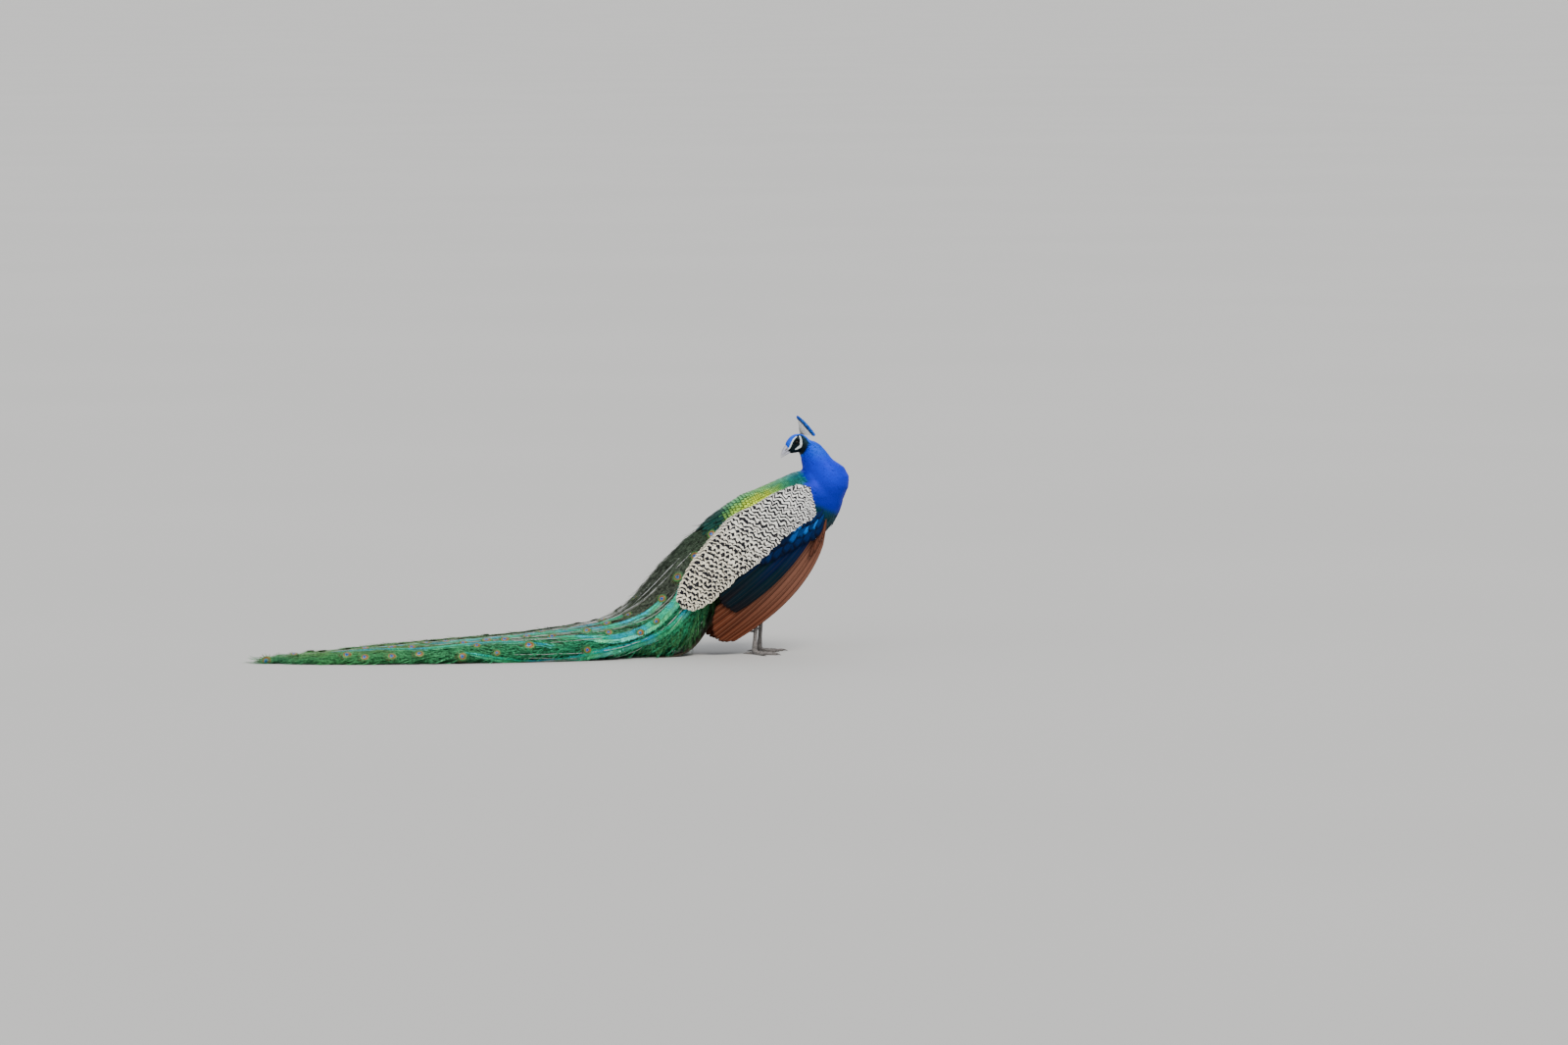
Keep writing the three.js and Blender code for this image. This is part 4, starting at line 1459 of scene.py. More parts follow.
@dataclass(frozen=True)
class EyeFinish:
    """A dark wet eye."""

    name: str = "eye_brown"

    def material(self) -> bpy.types.Material:
        """Builds the material."""
        n = Nodes(self.name)
        n.set(Base_Color=n.tint(), Roughness=0.5, Coat_Weight=0.4, Coat_Roughness=0.03)
        n.set(Specular_IOR_Level=0.05)
        return n.material


@dataclass(frozen=True)
class HornFinish:
    """Horn, with fine growth lines."""

    name: str
    roughness: float = 0.42
    grain: float = 260.0

    def material(self) -> bpy.types.Material:
        """Builds the material."""
        n = Nodes(self.name)
        streaks = n.noise(self.grain, 3.0, (1, 3, 1))
        n.set(Base_Color=n.mottled(n.tint(), streaks, 0.25, 0.75, (0.78, 1.15)), Roughness=self.roughness)
        n.bump(n.noise(self.grain * 2), 0.00015)
        return n.material


@dataclass
class Face:
    """The eyes, the bill and the crest."""

    stage: Stage
    eye_radius: float = 0.0052
    crest_base: tuple[float, float, float] = (-0.019, 0.0, 0.0185)
    crest_count: int = 24
    shaft_barbs: int = 10
    shaft_rings: int = 7
    paddle_length: float = 0.0112
    paddle_width: float = 0.0078
    pupil: float = 25.0  # degrees from the gaze to the pupil's rim
    iris: float = 50.0
    crest_bar: tuple[tuple[float, float, float], ...] = ((-0.0368, 0.0, 0.0685), (-0.0592, 0.0, -0.0018))
    upper: Array = field(
        default_factory=lambda: mm(
            (29, 11.5, 29, -6.6, 6.6), (37, 8, 37, -7.6, 6), (46, 1.8, 45.5, -9.4, 4.7),
            (54, -6, 51.5, -12.2, 2.7), (58.5, -14.4, 57, -15.8, 0.8),
        )
    )
    lower: Array = field(
        default_factory=lambda: mm(
            (29, -7.2, 29, -13.8, 5.6), (37, -8.2, 37, -14, 5), (45, -10.1, 45, -14.4, 3.7),
            (51.5, -12.9, 52, -15.4, 1.8), (53.8, -14.6, 54.2, -15.6, 0.8),
        )
    )

    def build(self) -> None:
        """Makes the eyes, both halves of the bill and the crest."""
        for side in ("left", "right"):
            self._eye(side)
        self._bill("bill_upper", self.upper, 1.0)
        self._bill("bill_lower", self.lower, 0.0)
        self._crest()

    def _eye(self, side: str) -> None:
        """Makes an eyeball, with its pupil facing outwards.

        Args:
            side: Which eye it is, "left" or "right".
        """
        low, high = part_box(f"eye_{side}")
        centre = np.array((low + high) / 2 - self.stage.origin)
        ball = bmesh.new()
        bmesh.ops.create_uvsphere(ball, u_segments=32, v_segments=24, radius=self.eye_radius)
        mesh = bpy.data.meshes.new(f"eye_{side}_ball")
        ball.to_mesh(mesh)
        ball.free()
        mesh.polygons.foreach_set("use_smooth", np.ones(len(mesh.polygons), bool))
        points = coordinates(mesh)
        from_gaze = np.degrees(np.arccos(np.clip(points[:, 2] / self.eye_radius, -1, 1)))
        dark, brown = np.array([[0.004, 0.002, 0.001], [0.014, 0.006, 0.003]])
        iris = mix(dark, brown, eased((from_gaze - self.pupil - 1) / 16)[:, None])
        colour = np.where((from_gaze < self.pupil)[:, None], 0.001, iris)
        colour = np.where((from_gaze > self.iris)[:, None], 0.003, colour)
        paint(mesh, "tint", colour)
        gaze = np.array([0.12, 1.0 if side == "left" else -1.0, 0.06])
        gaze = unit(gaze @ HEAD.matrix().T)
        turn = np.array(Vector(gaze).to_track_quat("Z", "Y").to_matrix())
        move_points(mesh, points @ turn.T + centre)
        self.stage.show(f"eyeball_{side}", mesh, EyeFinish(f"eye_{side}").material(), "eye", [f"eye_{side}"])

    def _bill(self, node: str, stations: Array, is_upper: float) -> None:
        """Makes one half of the bill.

        Args:
            node: The CAD node that it stands for.
            stations: The forward and upward place of its top, those of its underside, and half its
                width, from the face to the tip.
            is_upper: 1 for the upper half, which has the nostrils and a dark ridge, and 0 for the lower.
        """
        steps, sides = 34, 22
        share = np.linspace(0, 1, steps)
        rows = spline(stations, share)
        top, bottom, half = rows[:, :2], rows[:, 2:4], rows[:, 4]
        middle, rise = (top + bottom) / 2, (top - bottom) / 2
        turn = np.arange(sides) * math.tau / sides
        up = np.cos(turn)[None, :, None] * rise[:, None]
        flat = middle[:, None] + up
        out = half[:, None] * np.sin(turn)[None] * (1 + 0.05 * np.cos(turn)[None])
        points = np.stack([flat[..., 0], out, flat[..., 1]], axis=2)
        nostril = mm((31.5, 1.6), (39.5, -1.6))
        from_nostril = line_gap(points[..., [0, 2]].reshape(-1, 2), nostril).reshape(steps, sides)
        hole = np.exp(-((from_nostril / 0.0011) ** 2)) * is_upper * (np.abs(out) > 0.002)
        points[..., 1] *= 1 - 0.2 * hole
        faces: list[tuple[int, ...]] = []
        for r in range(steps - 1):
            for k in range(sides):
                a, b = r * sides + k, r * sides + (k + 1) % sides
                faces.append((a + sides, b + sides, b, a))
        faces += [tuple(range(sides)), tuple((steps - 1) * sides + k for k in range(sides - 1, -1, -1))]
        ridge = eased((np.cos(turn)[None] - 0.55) / 0.4) * is_upper + 0 * share[:, None]
        gape = eased((-np.cos(turn)[None] * (2 * is_upper - 1) - 0.75) / 0.2) + 0 * share[:, None]
        dark = (0.55 * ridge + 0.35 * gape)[..., None]
        colour = mix((0.46, 0.46, 0.52), (0.20, 0.20, 0.22), dark)
        colour = mix(colour, (0.62, 0.60, 0.62), 0.5 * eased(share * 2 - 0.8)[:, None, None])
        # Painted shade: the nostrils are painted nearly black, as the shade inside them.
        colour = mix(colour, (0.02, 0.02, 0.03), eased(hole * 1.6 - 0.3)[..., None])
        leaf = np.column_stack([np.tile(turn / math.tau, steps), np.repeat(share, sides)])
        shape = Shape(points.reshape(-1, 3), faces, leaf, colour.reshape(-1, 3))
        mesh = shape.moved(HEAD.outside).mesh(node)
        horn = shared(HornFinish("bill_horn_grey"))
        self.stage.show(node.replace("bill", "beak"), mesh, horn, "bill_horn", [node])

    def _crest(self) -> None:
        """Makes the crest: bare shafts, each with a paddle at its tip."""
        rng = np.random.default_rng(4)
        base = np.array(self.crest_base)
        parts = []
        for i in range(self.crest_count):
            share = i / (self.crest_count - 1)
            top, back = (np.array(point) for point in self.crest_bar)
            bulge = np.array([-0.0035, 0, 0.0022]) * math.sin(math.pi * share)
            tip = mix(top, back, share) + bulge + np.array([0, 0.0028 * math.sin(i * 2.4), 0])
            length = float(np.linalg.norm(tip - base))
            run = unit((tip - base)[None])[0]
            beside = unit(np.cross(run, LEFT)[None])[0]
            across = np.cross(beside, run)
            start = base + run * 0.001 + across * rng.uniform(-0.002, 0.002)
            rings = self.shaft_rings
            reach = np.linspace(0, length - 0.004, rings)
            bow = np.sin(np.linspace(0, math.pi, rings)) * rng.uniform(-0.0009, 0.0009)
            line = start + run * reach[:, None] + across * bow[:, None]
            parts.append(tube(line, np.linspace(0.00030, 0.00022, rings), 5).painted((0.13, 0.14, 0.14)))
            for k in range(self.shaft_barbs):
                side = -1 if k % 2 else 1
                root = start + run * length * (0.12 + 0.055 * k)
                end = root + run * 0.005 + beside * side * 0.0016
                path = np.array([root, (root + end) / 2 + run * 0.0008, end])
                parts.append(barb(path, 0.0003, 2).painted((0.01, 0.03, 0.06)))
            paddle = vane(self.paddle_length, self.paddle_width, 0.0, 0.0, 0.06, 5)
            axes = np.column_stack([run, beside, np.cross(run, beside)])
            turn = rng.uniform(-0.25, 0.25)
            axes = axes @ np.array(Matrix.Rotation(turn, 3, "X"))
            ahead = tip - run * self.paddle_length
            bright = mix((0.0, 0.04, 0.45), (0.0, 0.15, 0.72), rng.uniform(0, 1))
            tone = mix((0.0, 0.006, 0.05), bright, eased(paddle.leaf[:, 1] * 1.6 - 0.25)[:, None])
            placed = paddle.moved(lambda p, f=axes, o=ahead: p @ f.T + o)
            parts.append(placed.painted(tone))
        mesh = Shape.joined(parts).moved(HEAD.outside).mesh("crest_fan")
        finish = FeatherFinish("crest_plumes", 0.42, 0.3, 0.15, (0.0, 0.12, 0.50), barbs=10).material()
        self.stage.show("crest_fan", mesh, finish, "crest_feathers", ["crest"])


# ---- Legs --------------------------------------------------------------------------------------


@dataclass(frozen=True)
class LegFinish:
    """Scaly grey-brown skin."""

    name: str = "leg_scutes"

    def material(self) -> bpy.types.Material:
        """Builds the material."""
        n = Nodes(self.name)
        place = n.add("ShaderNodeTexCoord").outputs["Object"]
        cells = n.add("ShaderNodeTexVoronoi", {"feature": "DISTANCE_TO_EDGE"}, Vector=place, Scale=430.0)
        seam = n.step(cells.outputs["Distance"], 0.0, 0.16)
        colour = n.blend(seam, (0.10, 0.09, 0.085), n.tint())
        n.set(Base_Color=n.mottled(colour, n.noise(180.0, 3.0), 0.3, 0.7, (0.75, 1.2)), Roughness=0.55)
        n.bump(seam, 0.0004)
        return n.material


@dataclass
class Leg:
    """The bare shank, spur, toes and claws of one side."""

    stage: Stage
    name: str
    side: int
    x: float
    y: float
    heading: float
    shank_radius: float = 0.006
    hock: float = 0.138
    ankle: float = 0.015
    scute: float = 0.0042
    toes: tuple[tuple[float, float, float], ...] = (
        (0.066, 0.0052, 0.0), (0.050, 0.0047, 36.0), (0.052, 0.0047, -38.0), (0.022, 0.0040, 176.0),
    )
    claw: float = 0.013

    def build(self) -> None:
        """Makes the shank with its toes, and the claws."""
        parts = [self._shank(), self._spur(), self._knuckle()]
        claws = []
        for length, thickness, turn in self.toes:
            toe, claw = self._toe(length, thickness, math.radians(self.heading + turn))
            parts.append(toe)
            claws.append(claw)
        scutes, horn = shared(LegFinish()), shared(HornFinish("claw_horn"))
        nodes = [f"shank_{self.name}", f"foot_{self.name}"]
        leg = Shape.joined(parts).mesh(f"leg_{self.name}")
        self.stage.show(f"leg_{self.name}", leg, scutes, "leg_scales", nodes)
        self.stage.show(f"claws_{self.name}", Shape.joined(claws).mesh("claws"), horn, "leg_scales")

    def _ridged(self, line: Path, radius: Callable[[Array], Array]) -> Shape:
        """A tube whose scutes overlap down its length."""
        rings = max(8, int(line.length / self.scute * 4))
        share = np.linspace(0, 1, rings)
        saw = (share * line.length / self.scute) % 1
        return tube(line.at(share), radius(share) * (1 + 0.07 * saw - 0.035), 12).painted((0.24, 0.215, 0.20))

    def _shank(self) -> Shape:
        """The shank, from inside the thigh down to the ankle."""
        top = np.array([self.x + 0.008 + 0.002, self.y, self.hock + 0.016])
        hock = np.array([self.x + 0.008, self.y, self.hock])
        foot = np.array([self.x, self.y, self.ankle])
        bends = [top, hock, mix(hock, foot, 0.3), mix(hock, foot, 0.75), foot - [0, 0, 0.004]]
        line = Path(np.array(bends), 120)
        stops, sizes = (0, 0.12, 0.3, 0.8, 0.93, 1), (1.0, 1.2, 0.98, 0.93, 1.2, 1.05)
        return self._ridged(line, lambda t: self.shank_radius * np.interp(t, stops, sizes))

    def _knuckle(self) -> Shape:
        """The joint that the toes leave from."""
        rise = np.linspace(self.ankle + 0.002, 0.0022, 7)
        line = np.column_stack([np.full(7, self.x), np.full(7, self.y), rise])
        radii = self.shank_radius * np.array([1.12, 1.25, 1.3, 1.27, 1.18, 0.95, 0.6])
        return tube(line, radii, 14).painted((0.22, 0.20, 0.185))

    def _spur(self) -> Shape:
        """The spur on the inner side of the shank."""
        root = np.array([self.x + 0.0032, self.y, mix(self.hock, self.ankle, 0.6)])
        mid = np.array([root[0] - 0.014, self.y - self.side * 0.006, root[2] - 0.001])
        tip = np.array([root[0] - 0.024, self.y - self.side * 0.009, root[2] + 0.004])
        line = Path(np.array([root, mid, tip]), 20)
        return tube(line.points, np.linspace(0.0040, 0.0005, 20), 10).painted((0.24, 0.22, 0.22))

    def _toe(self, length: float, thickness: float, heading: float) -> tuple[Shape, Shape]:
        """A padded toe, and its claw.

        Args:
            length: From the middle of the foot to the root of the claw.
            thickness: Its radius at the foot.
            heading: The way it points, about the upright axis.

        Returns:
            The toe and the claw.
        """
        run = np.array([math.cos(heading), math.sin(heading), 0])
        start = np.array([self.x, self.y, 0.0])
        rings = 40
        t = np.linspace(0, 1, rings)
        pads = 1 + 0.09 * np.cos(t * math.tau * 3.2) + 0.03 * (((t * length) / (self.scute * 0.8)) % 1)
        radius = thickness * mix(1, 0.68, t) * pads
        rise = np.maximum(radius * 0.82, mix(self.ankle - thickness, radius * 0.82, eased(t / 0.2)))
        line = start + run * (t * length)[:, None]
        line[:, 2] += rise
        toe = tube(line, radius, 12).painted((0.24, 0.215, 0.20))
        toe.points[:, 2] = np.maximum(toe.points[:, 2], 0.0)
        s = np.linspace(0, 1, 12)
        height = radius[-1] * (0.95 + 0.25 * np.sin(s * math.pi) - 0.75 * s**1.5)
        nail = start + run * (length - 0.0025 + s * (self.claw + 0.0025))[:, None]
        nail[:, 2] += height
        claw = tube(nail, thickness * mix(0.62, 0.1, s**0.9), 10).painted((0.07, 0.06, 0.055))
        claw.points[:, 2] = np.maximum(claw.points[:, 2], 0.0)
        return toe, claw


# ---- Wings -------------------------------------------------------------------------------------


@dataclass(frozen=True)
class BarredFinish:
    """Cream feathers crossed by wavy black bars that run on from one feather to the next.

    Attributes:
        start: The shoulder's place.
        run: The way along the wing.
        beside: The way across the feathers' rows.
        black: The bars' colour.
        scallop: How far the bars bow on each feather, in bars.
        ripple: How far the bars wave from feather to feather, in bars.
        ripple_length: The length of a wave.
    """

    start: Colour
    run: Colour
    beside: Colour
    name: str = "barred_plumes"
    black: Colour = (0.007, 0.007, 0.011)
    scallop: float = 4.2
    ripple: float = 0.34
    ripple_length: float = 0.0190

    def material(self) -> bpy.types.Material:
        """Builds the material."""
        n = Nodes(self.name)
        across, along = n.leaf()
        off = n.minus(across, 0.5)
        rear = n.step(n.reach(self.run, self.start), 0.08, 0.30)
        waves_run = n.times(n.reach(self.beside, self.start), math.tau / self.ripple_length)
        drift = n.times(n.noise(26.0, 1.0), 9.0)
        ripple = n.times(n.sine(n.plus(waves_run, drift)), self.ripple)
        ripple = n.times(ripple, n.minus(1.0, n.times(rear, 0.7)))
        taper = n.times(n.math("MAXIMUM", n.minus(along, 0.6), 0.0), 2.5)
        wide = n.minus(1.0, n.times(taper, taper))
        bow = n.times(n.times(off, off), n.times(wide, -self.scallop))
        bow = n.times(bow, rear)
        bow = n.plus(bow, ripple)
        wander = n.times(n.minus(n.noise(60.0, 1.0), 0.5), 1.1)
        own = n.times(along, n.number("pitch"))
        phase = n.plus(n.plus(n.number("reach"), own), n.plus(bow, wander))
        wave = n.sine(n.times(phase, math.tau))
        middle = n.minus(0.42, n.times(n.size(off), 2.4))
        middle = n.times(middle, n.times(rear, 1.1))
        patches = n.times(n.minus(n.noise(48.0, 1.0), 0.52), 1.5)
        fine = n.times(n.minus(n.noise(300.0, 2.0), 0.5), 0.7)
        weight = n.plus(n.plus(wave, fine), n.plus(middle, patches))
        bar = n.step(weight, -0.14, 0.04)
        pale = n.mottled(n.tint(), n.noise(40.0), 0.3, 0.7, (0.90, 1.05))
        fringe = n.step(n.size(n.minus(weight, -0.23)), 0.25, 0.0, (0, 0.4))
        pale = n.blend(fringe, pale, (0.30, 0.20, 0.12))
        colour = n.blend(bar, pale, self.black)
        n.set(Base_Color=colour, Roughness=0.72, Specular_IOR_Level=0.15)
        slant = n.minus(along, n.times(n.size(off), 0.6))
        n.bump(n.sine(n.times(slant, 24 * math.tau)), 0.00003)
        return n.material


@dataclass(frozen=True)
class Fan:
    """Long wing feathers spread as a fan, from their roots by their bends to their tips."""

    count: int
    roots: Array
    bends: Array
    tips: Array
    depth: float
    step: float
    thickness: float = 0.0005
    lap: float = 0.16
    tip: float = 0.06
    dip: float = 0.0

    def blade(self, place: Callable[[Array, Array, Array], Array], i: int) -> Shape:
        """One feather of the fan.

        Args:
            place: The point of the wing at a place along, across and below its sheet.
            i: Which feather it is, from the top.

        Returns:
            The feather, as a closed slab with a raised shaft.
        """
        rounding = np.linspace(0.1, math.pi / 2 - 0.02, 10)
        t = np.r_[np.linspace(0, 1 - self.tip, 16), 1 - self.tip + self.tip * np.sin(rounding)][:, None]
        c = np.linspace(-1, 1, 9)[None]
        width = np.r_[np.ones(16), np.cos(rounding)][:, None] * mix(0.55, 1.0, eased(t / 0.25))
        uneven = 0.12 * math.sin(i * 2.3) * eased(t / 0.5)
        share = np.clip((i + 0.5 + uneven + c * width * (0.5 + self.lap)) / self.count, 0, 1)
        ends = [spline(line, share) for line in (self.roots, self.bends, self.tips)]
        s = t[..., None] * 0.995
        flat = ends[0] * (1 - s) ** 2 + ends[1] * 2 * s * (1 - s) + ends[2] * s**2
        shaft = 0.0007 * np.exp(-(((c + 0.15) / 0.10) ** 2)) * (1 - 0.7 * t)
        sunk = self.depth + self.step * (i + 0.3 * (c + 1) / 2) - shaft + 0.0009 * (c**2) * width
        sunk = sunk + self.dip * (1 - eased(t / 0.16)) ** 2
        top = place(flat[..., 0], flat[..., 1], sunk)
        under = place(flat[..., 0], flat[..., 1], sunk + shaft + self.thickness)
        return slab(top, under)


@dataclass
class Wing:
    """A folded wing: the barred shield, the coverts and the long feathers below them."""

    stage: Stage
    rows: FeatherTree
    name: str
    side: int
    origin: tuple[float, float] = (0.170, 0.426)
    run: tuple[float, float] = (-0.8075, -0.5899)
    down: tuple[float, float] = (0.5899, -0.8075)
    half_span: float = 0.101
    shield: Array = field(
        default_factory=lambda: mm(
            (6, -46, -36), (16, -62, -14), (38, -76, 24), (90, -90, 15), (150, -97, 13),
            (215, -109, 22), (270, -101, 25), (340, -87, 26), (400, -66, 34), (445, -43, 31),
            (472, -26, 17), (482, -12, -2),
        )
    )
    scale_pitch: float = 0.0135
    scale_row: float = 0.0105
    scale_slant: float = 0.44
    scale_widths: tuple[float, ...] = (0.0235, 0.0225)
    covert_length: float = 0.050
    front_period: float = 0.0098  # between the bars at the shoulder
    rear_period: float = 0.0134

    def reach(self, along: Array, across: Array) -> Array:
        """How far the outside of the wing stands from the middle of the body."""
        shoulder = mix(0.72, 1, eased((along + 0.03) / 0.11))
        taper = 1 - 0.12 * eased((along - 0.18) / 0.32)
        over_back = np.maximum(0, (0.03 - across) / 0.184)
        underneath = 0.3 * np.maximum(0, across - 0.03) ** 2
        return self.half_span * shoulder * taper * np.sqrt(1 - np.minimum(over_back, 1) ** 2) - underneath

    def point(self, along: Array, across: Array, depth: Any) -> Array:
        """Points at places along and across the wing, sunk below its outside by a depth."""
        x = self.origin[0] + along * self.run[0] + across * self.down[0]
        z = self.origin[1] + along * self.run[1] + across * self.down[1]
        y = self.side * (self.reach(along, across) - depth)
        return np.stack(np.broadcast_arrays(x, y, z), axis=-1)

    def lay(self, mesh: bpy.types.Mesh) -> bpy.types.Mesh:
        """Lays a coat grown on a flat sheet, along and across, over the wing's rounding.

        Args:
            mesh: The coat, whose heights count up from the wing's outside.

        Returns:
            The same mesh.
        """
        flat = coordinates(mesh)
        move_points(mesh, self.point(flat[:, 0], flat[:, 1], -flat[:, 2]))
        if self.side > 0:
            mesh.flip_normals()
        return mesh

    def build(self) -> None:
        """Makes the wing's pieces."""
        self._panel()
        self._scales()
        self._coverts()
        self._long_feathers()

    def _edges(self, share: Any) -> Edges:
        """The shield's places along the wing, and its upper and lower edges there."""
        rows = spline(self.shield, share)
        recede = mix(0.009, 0.004, eased((rows[..., 0] - 0.04) / 0.10))
        return rows[..., 0], rows[..., 1], rows[..., 2] - recede

    def _panel(self) -> None:
        """The shield's own flesh and down under its feathers, painted dark as the shade between them."""
        t = np.linspace(0, 1, 60)[:, None]
        along, upper, lower = self._edges(t[:, 0])
        c = np.linspace(0.02, 0.98, 16)[None]
        across = mix(upper[:, None], lower[:, None], c)
        run = along[:, None] + 0 * c
        deep = mix(0.022, 0.0086, eased((across + 0.034) / 0.040))
        rounding = 0.006 * (np.abs(2 * c - 1) ** 4) + 0.012 * (1 - eased(t / 0.09))
        top = self.point(run, across, 0.0045 + rounding)
        under = self.point(run, across, np.maximum(deep, 0.0065 + rounding))
        shape = slab(top, under) if self.side > 0 else slab(under, top)
        # Painted shade: the panel is painted near black, so that where it shows between the feathers it reads
        # as the shade in the gaps.
        mesh = shape.painted((0.035, 0.034, 0.032)).mesh("panel")
        node = f"wing_{self.name}_shield"
        self.stage.show(f"{node}_down", mesh, shared(SkinFinish("wing_down", 0.9)), "barred_feathers", [node])

    def _scales(self) -> None:
        """The barred feathers, in staggered rows that slant across the shield."""
        rng = np.random.default_rng(11 + self.side)
        roots: list[Root] = []
        shares = np.linspace(0, 1, 400)
        along, upper, lower = self._edges(shares)
        start, end = float(along[0]), float(along[-1])
        slant = self.scale_slant
        ahead, down = math.cos(slant), math.sin(slant)
        row = 0
        p = start * ahead + float(upper.min()) * down - 0.02
        while p < end + 0.02:
            q = -0.36 + (0.5 * self.scale_pitch if row % 2 else 0.0)
            while q < 0.08:
                u, v = p * ahead - q * down, p * down + q * ahead
                q += self.scale_pitch * rng.uniform(0.95, 1.05)
                if not start - 0.012 < u < end - 0.010:
                    continue
                high, low = np.interp(u, along, upper), np.interp(u, along, lower)
                if not high - 0.013 < v < low + 0.001:
                    continue
                v = max(v, high + 0.001 - 0.002 * (u < 0.030))
                self._add_scale(roots, u, v, (along, upper, lower), rng)
            p += self.scale_row
            row += 1
        self._edge_scales(roots, (along, upper, lower), rng)
        shapes = [vane(0.030, width, 0.064, 0.0, 0.05, 6, 0.012) for width in self.scale_widths]
        name = f"wing_{self.name}_scales"
        finish = shared(self._barred())
        coat = self.rows.grow(
            name, roots_mesh(roots), shapes, finish, wander=(0.0, 0.003, 0.05), spread=0.05, seed=3
        )
        self.stage.show(name, self.lay(coat), None, "barred_feathers")

    def _barred(self) -> BarredFinish:
        """The finish of the barred feathers, set on this wing's own lines."""
        start = np.array([self.origin[0], 0.0, self.origin[1]]) + np.array(self.stage.origin)
        run, down = (np.array([way[0], 0.0, way[1]]) for way in (self.run, self.down))
        beside = down * math.cos(self.scale_slant) - run * math.sin(self.scale_slant)
        return BarredFinish(tuple(start), tuple(run), tuple(beside))

    def _edge_scales(self, roots: list[Root], edges: Edges, rng: np.random.Generator) -> None:
        """Adds small feathers along the shield's upper and front edges, and a rim below its top.

        Args:
            roots: Where the feathers are kept.
            edges: The shield's places along, and its upper and lower edges there.
            rng: What the feathers vary by.
        """
        along, upper, lower = edges
        for u in np.arange(float(along[0]) - 0.004, float(along[0]) + 0.075, 0.0058):
            v = float(np.interp(u, along, upper)) + 0.003
            self._add_scale(roots, u, v, edges, rng, None, 0.72, -0.0060, 0.20)
        for u in np.arange(float(along[0]) + 0.012, float(along[-1]) - 0.022, 0.0072):
            v, ahead = np.interp([u, u + 0.018], along, upper)
            turn = math.atan2(ahead - v, 0.018) + 0.10
            self._add_scale(roots, u, float(v) + 0.0045, edges, rng, turn, 0.56, 0.0006)
        for u in np.r_[np.arange(0.007, 0.034, 0.0055), np.arange(0.034, float(along[-1]) - 0.030, 0.0075)]:
            v, ahead = np.interp([u, u + 0.015], along, upper)
            for depth, rise in ((0.0175, 0.16), (0.0085, 0.10)):
                cream = self._cream(u) * rng.uniform(0.9, 1.0)
                place = np.array([u, v - 0.0004, -depth])
                run = unit(np.array([0.015, ahead - v, 0.015 * rise]))
                phase, where = self._phase(u + 0.02), (0.05 + 0.9 * u / 0.49, 0.02)
                size = 0.62 * min(1.0, (float(along[-1]) - u) / 0.04, 0.62 + (u - 0.007) / 0.08)
                pitch = SCALE_LENGTH * size / 0.0105
                roots.append(Root(place, np.array([0.0, -1.0, 0.0]), run, size, cream, where, phase, pitch))
        for share in np.linspace(0, 1, 11):
            u = mix(float(along[0]), 0.044, share)
            v = float(np.interp(u, along, lower))
            self._add_scale(roots, u - 0.003, v - 0.001, edges, rng, over=-0.0045, rise=0.16)

    def _add_scale(
        self, roots: list[Root], u: float, v: float, edges: Edges, rng: np.random.Generator,
        turn: float | None = None, size: float = 1.0, over: float = 0.0, rise: float = 0.0,
    ) -> None:
        """Adds a barred feather whose tip stays within the shield.

        Args:
            roots: Where the feathers are kept.
            u: How far its root lies along the wing.
            v: How far its root lies across the wing.
            edges: The shield's places along, and its upper and lower edges there.
            rng: What the sizes vary by.
            turn: Which way it points, or None for the way of its row.
            size: How large it is.
            over: How far above its neighbours it starts.
            rise: How steeply it rises.
        """
        along, upper, lower = edges
        length, slant = SCALE_LENGTH, self.scale_slant
        past = max(0.0, u + length * size * math.cos(slant) - float(along[-1]) - 0.002)
        size *= 1 - past / length * 0.9
        if turn is None:
            tip_u = u + length * math.cos(slant)
            high, low = np.interp(tip_u, along, upper), np.interp(tip_u, along, lower)
            tip_v = min(max(v + length * math.sin(slant), high), low + 0.002)
            turn = math.atan2(tip_v - v, tip_u - u)
        above = float(np.interp(u, along, upper)) + 0.001 - v
        outside = max(0.0, above) + max(0.0, float(along[0]) + 0.001 - u)
        place = np.array([u, v, over - 0.0042 - 0.30 * outside])
        run = unit(np.array([math.cos(turn), math.sin(turn), rise]))
        rim = float(eased((v - np.interp(u, along, lower) + 0.030) / 0.026))
        period = mix(self.front_period, self.rear_period, float(eased(u / 0.30))) * mix(1.0, 0.72, rim)
        uneven = 0.5 * rim + 0.22 * float(eased((u - 0.10) / 0.2))
        phase = self._phase(u * math.cos(slant) + v * math.sin(slant) + 0.02) + uneven * rng.random()
        where = (0.05 + 0.9 * u / 0.49, 0.05 + 0.9 * (v + 0.12) / 0.17)
        up = np.array([-rise * math.cos(turn), -rise * math.sin(turn), 1.0])
        pitch = length * size * math.cos(turn - slant) / period
        size *= rng.uniform(0.97, 1.03)
        roots.append(Root(place, up, run, size, self._cream(u), where, phase, pitch))

    def _cream(self, along: float) -> Array:
        """The pale colour between the bars, warmer to the rear."""
        return mix((0.93, 0.93, 0.90), (0.92, 0.85, 0.66), float(eased(along / 0.40)))

    def _phase(self, along: float) -> float:
        """How many bars lie between the shoulder and a place along the wing."""
        steps = np.linspace(-0.08, along, 80)
        period = mix(self.front_period, self.rear_period, eased(steps / 0.30))
        return float(np.sum(1 / period) * (steps[1] - steps[0]))

    def _coverts(self) -> None:
        """The blue coverts over the dark feathers, and the rufous ones by the wing's bend."""
        rng = np.random.default_rng(21)
        blue: list[Root] = []
        rufous: list[Root] = []
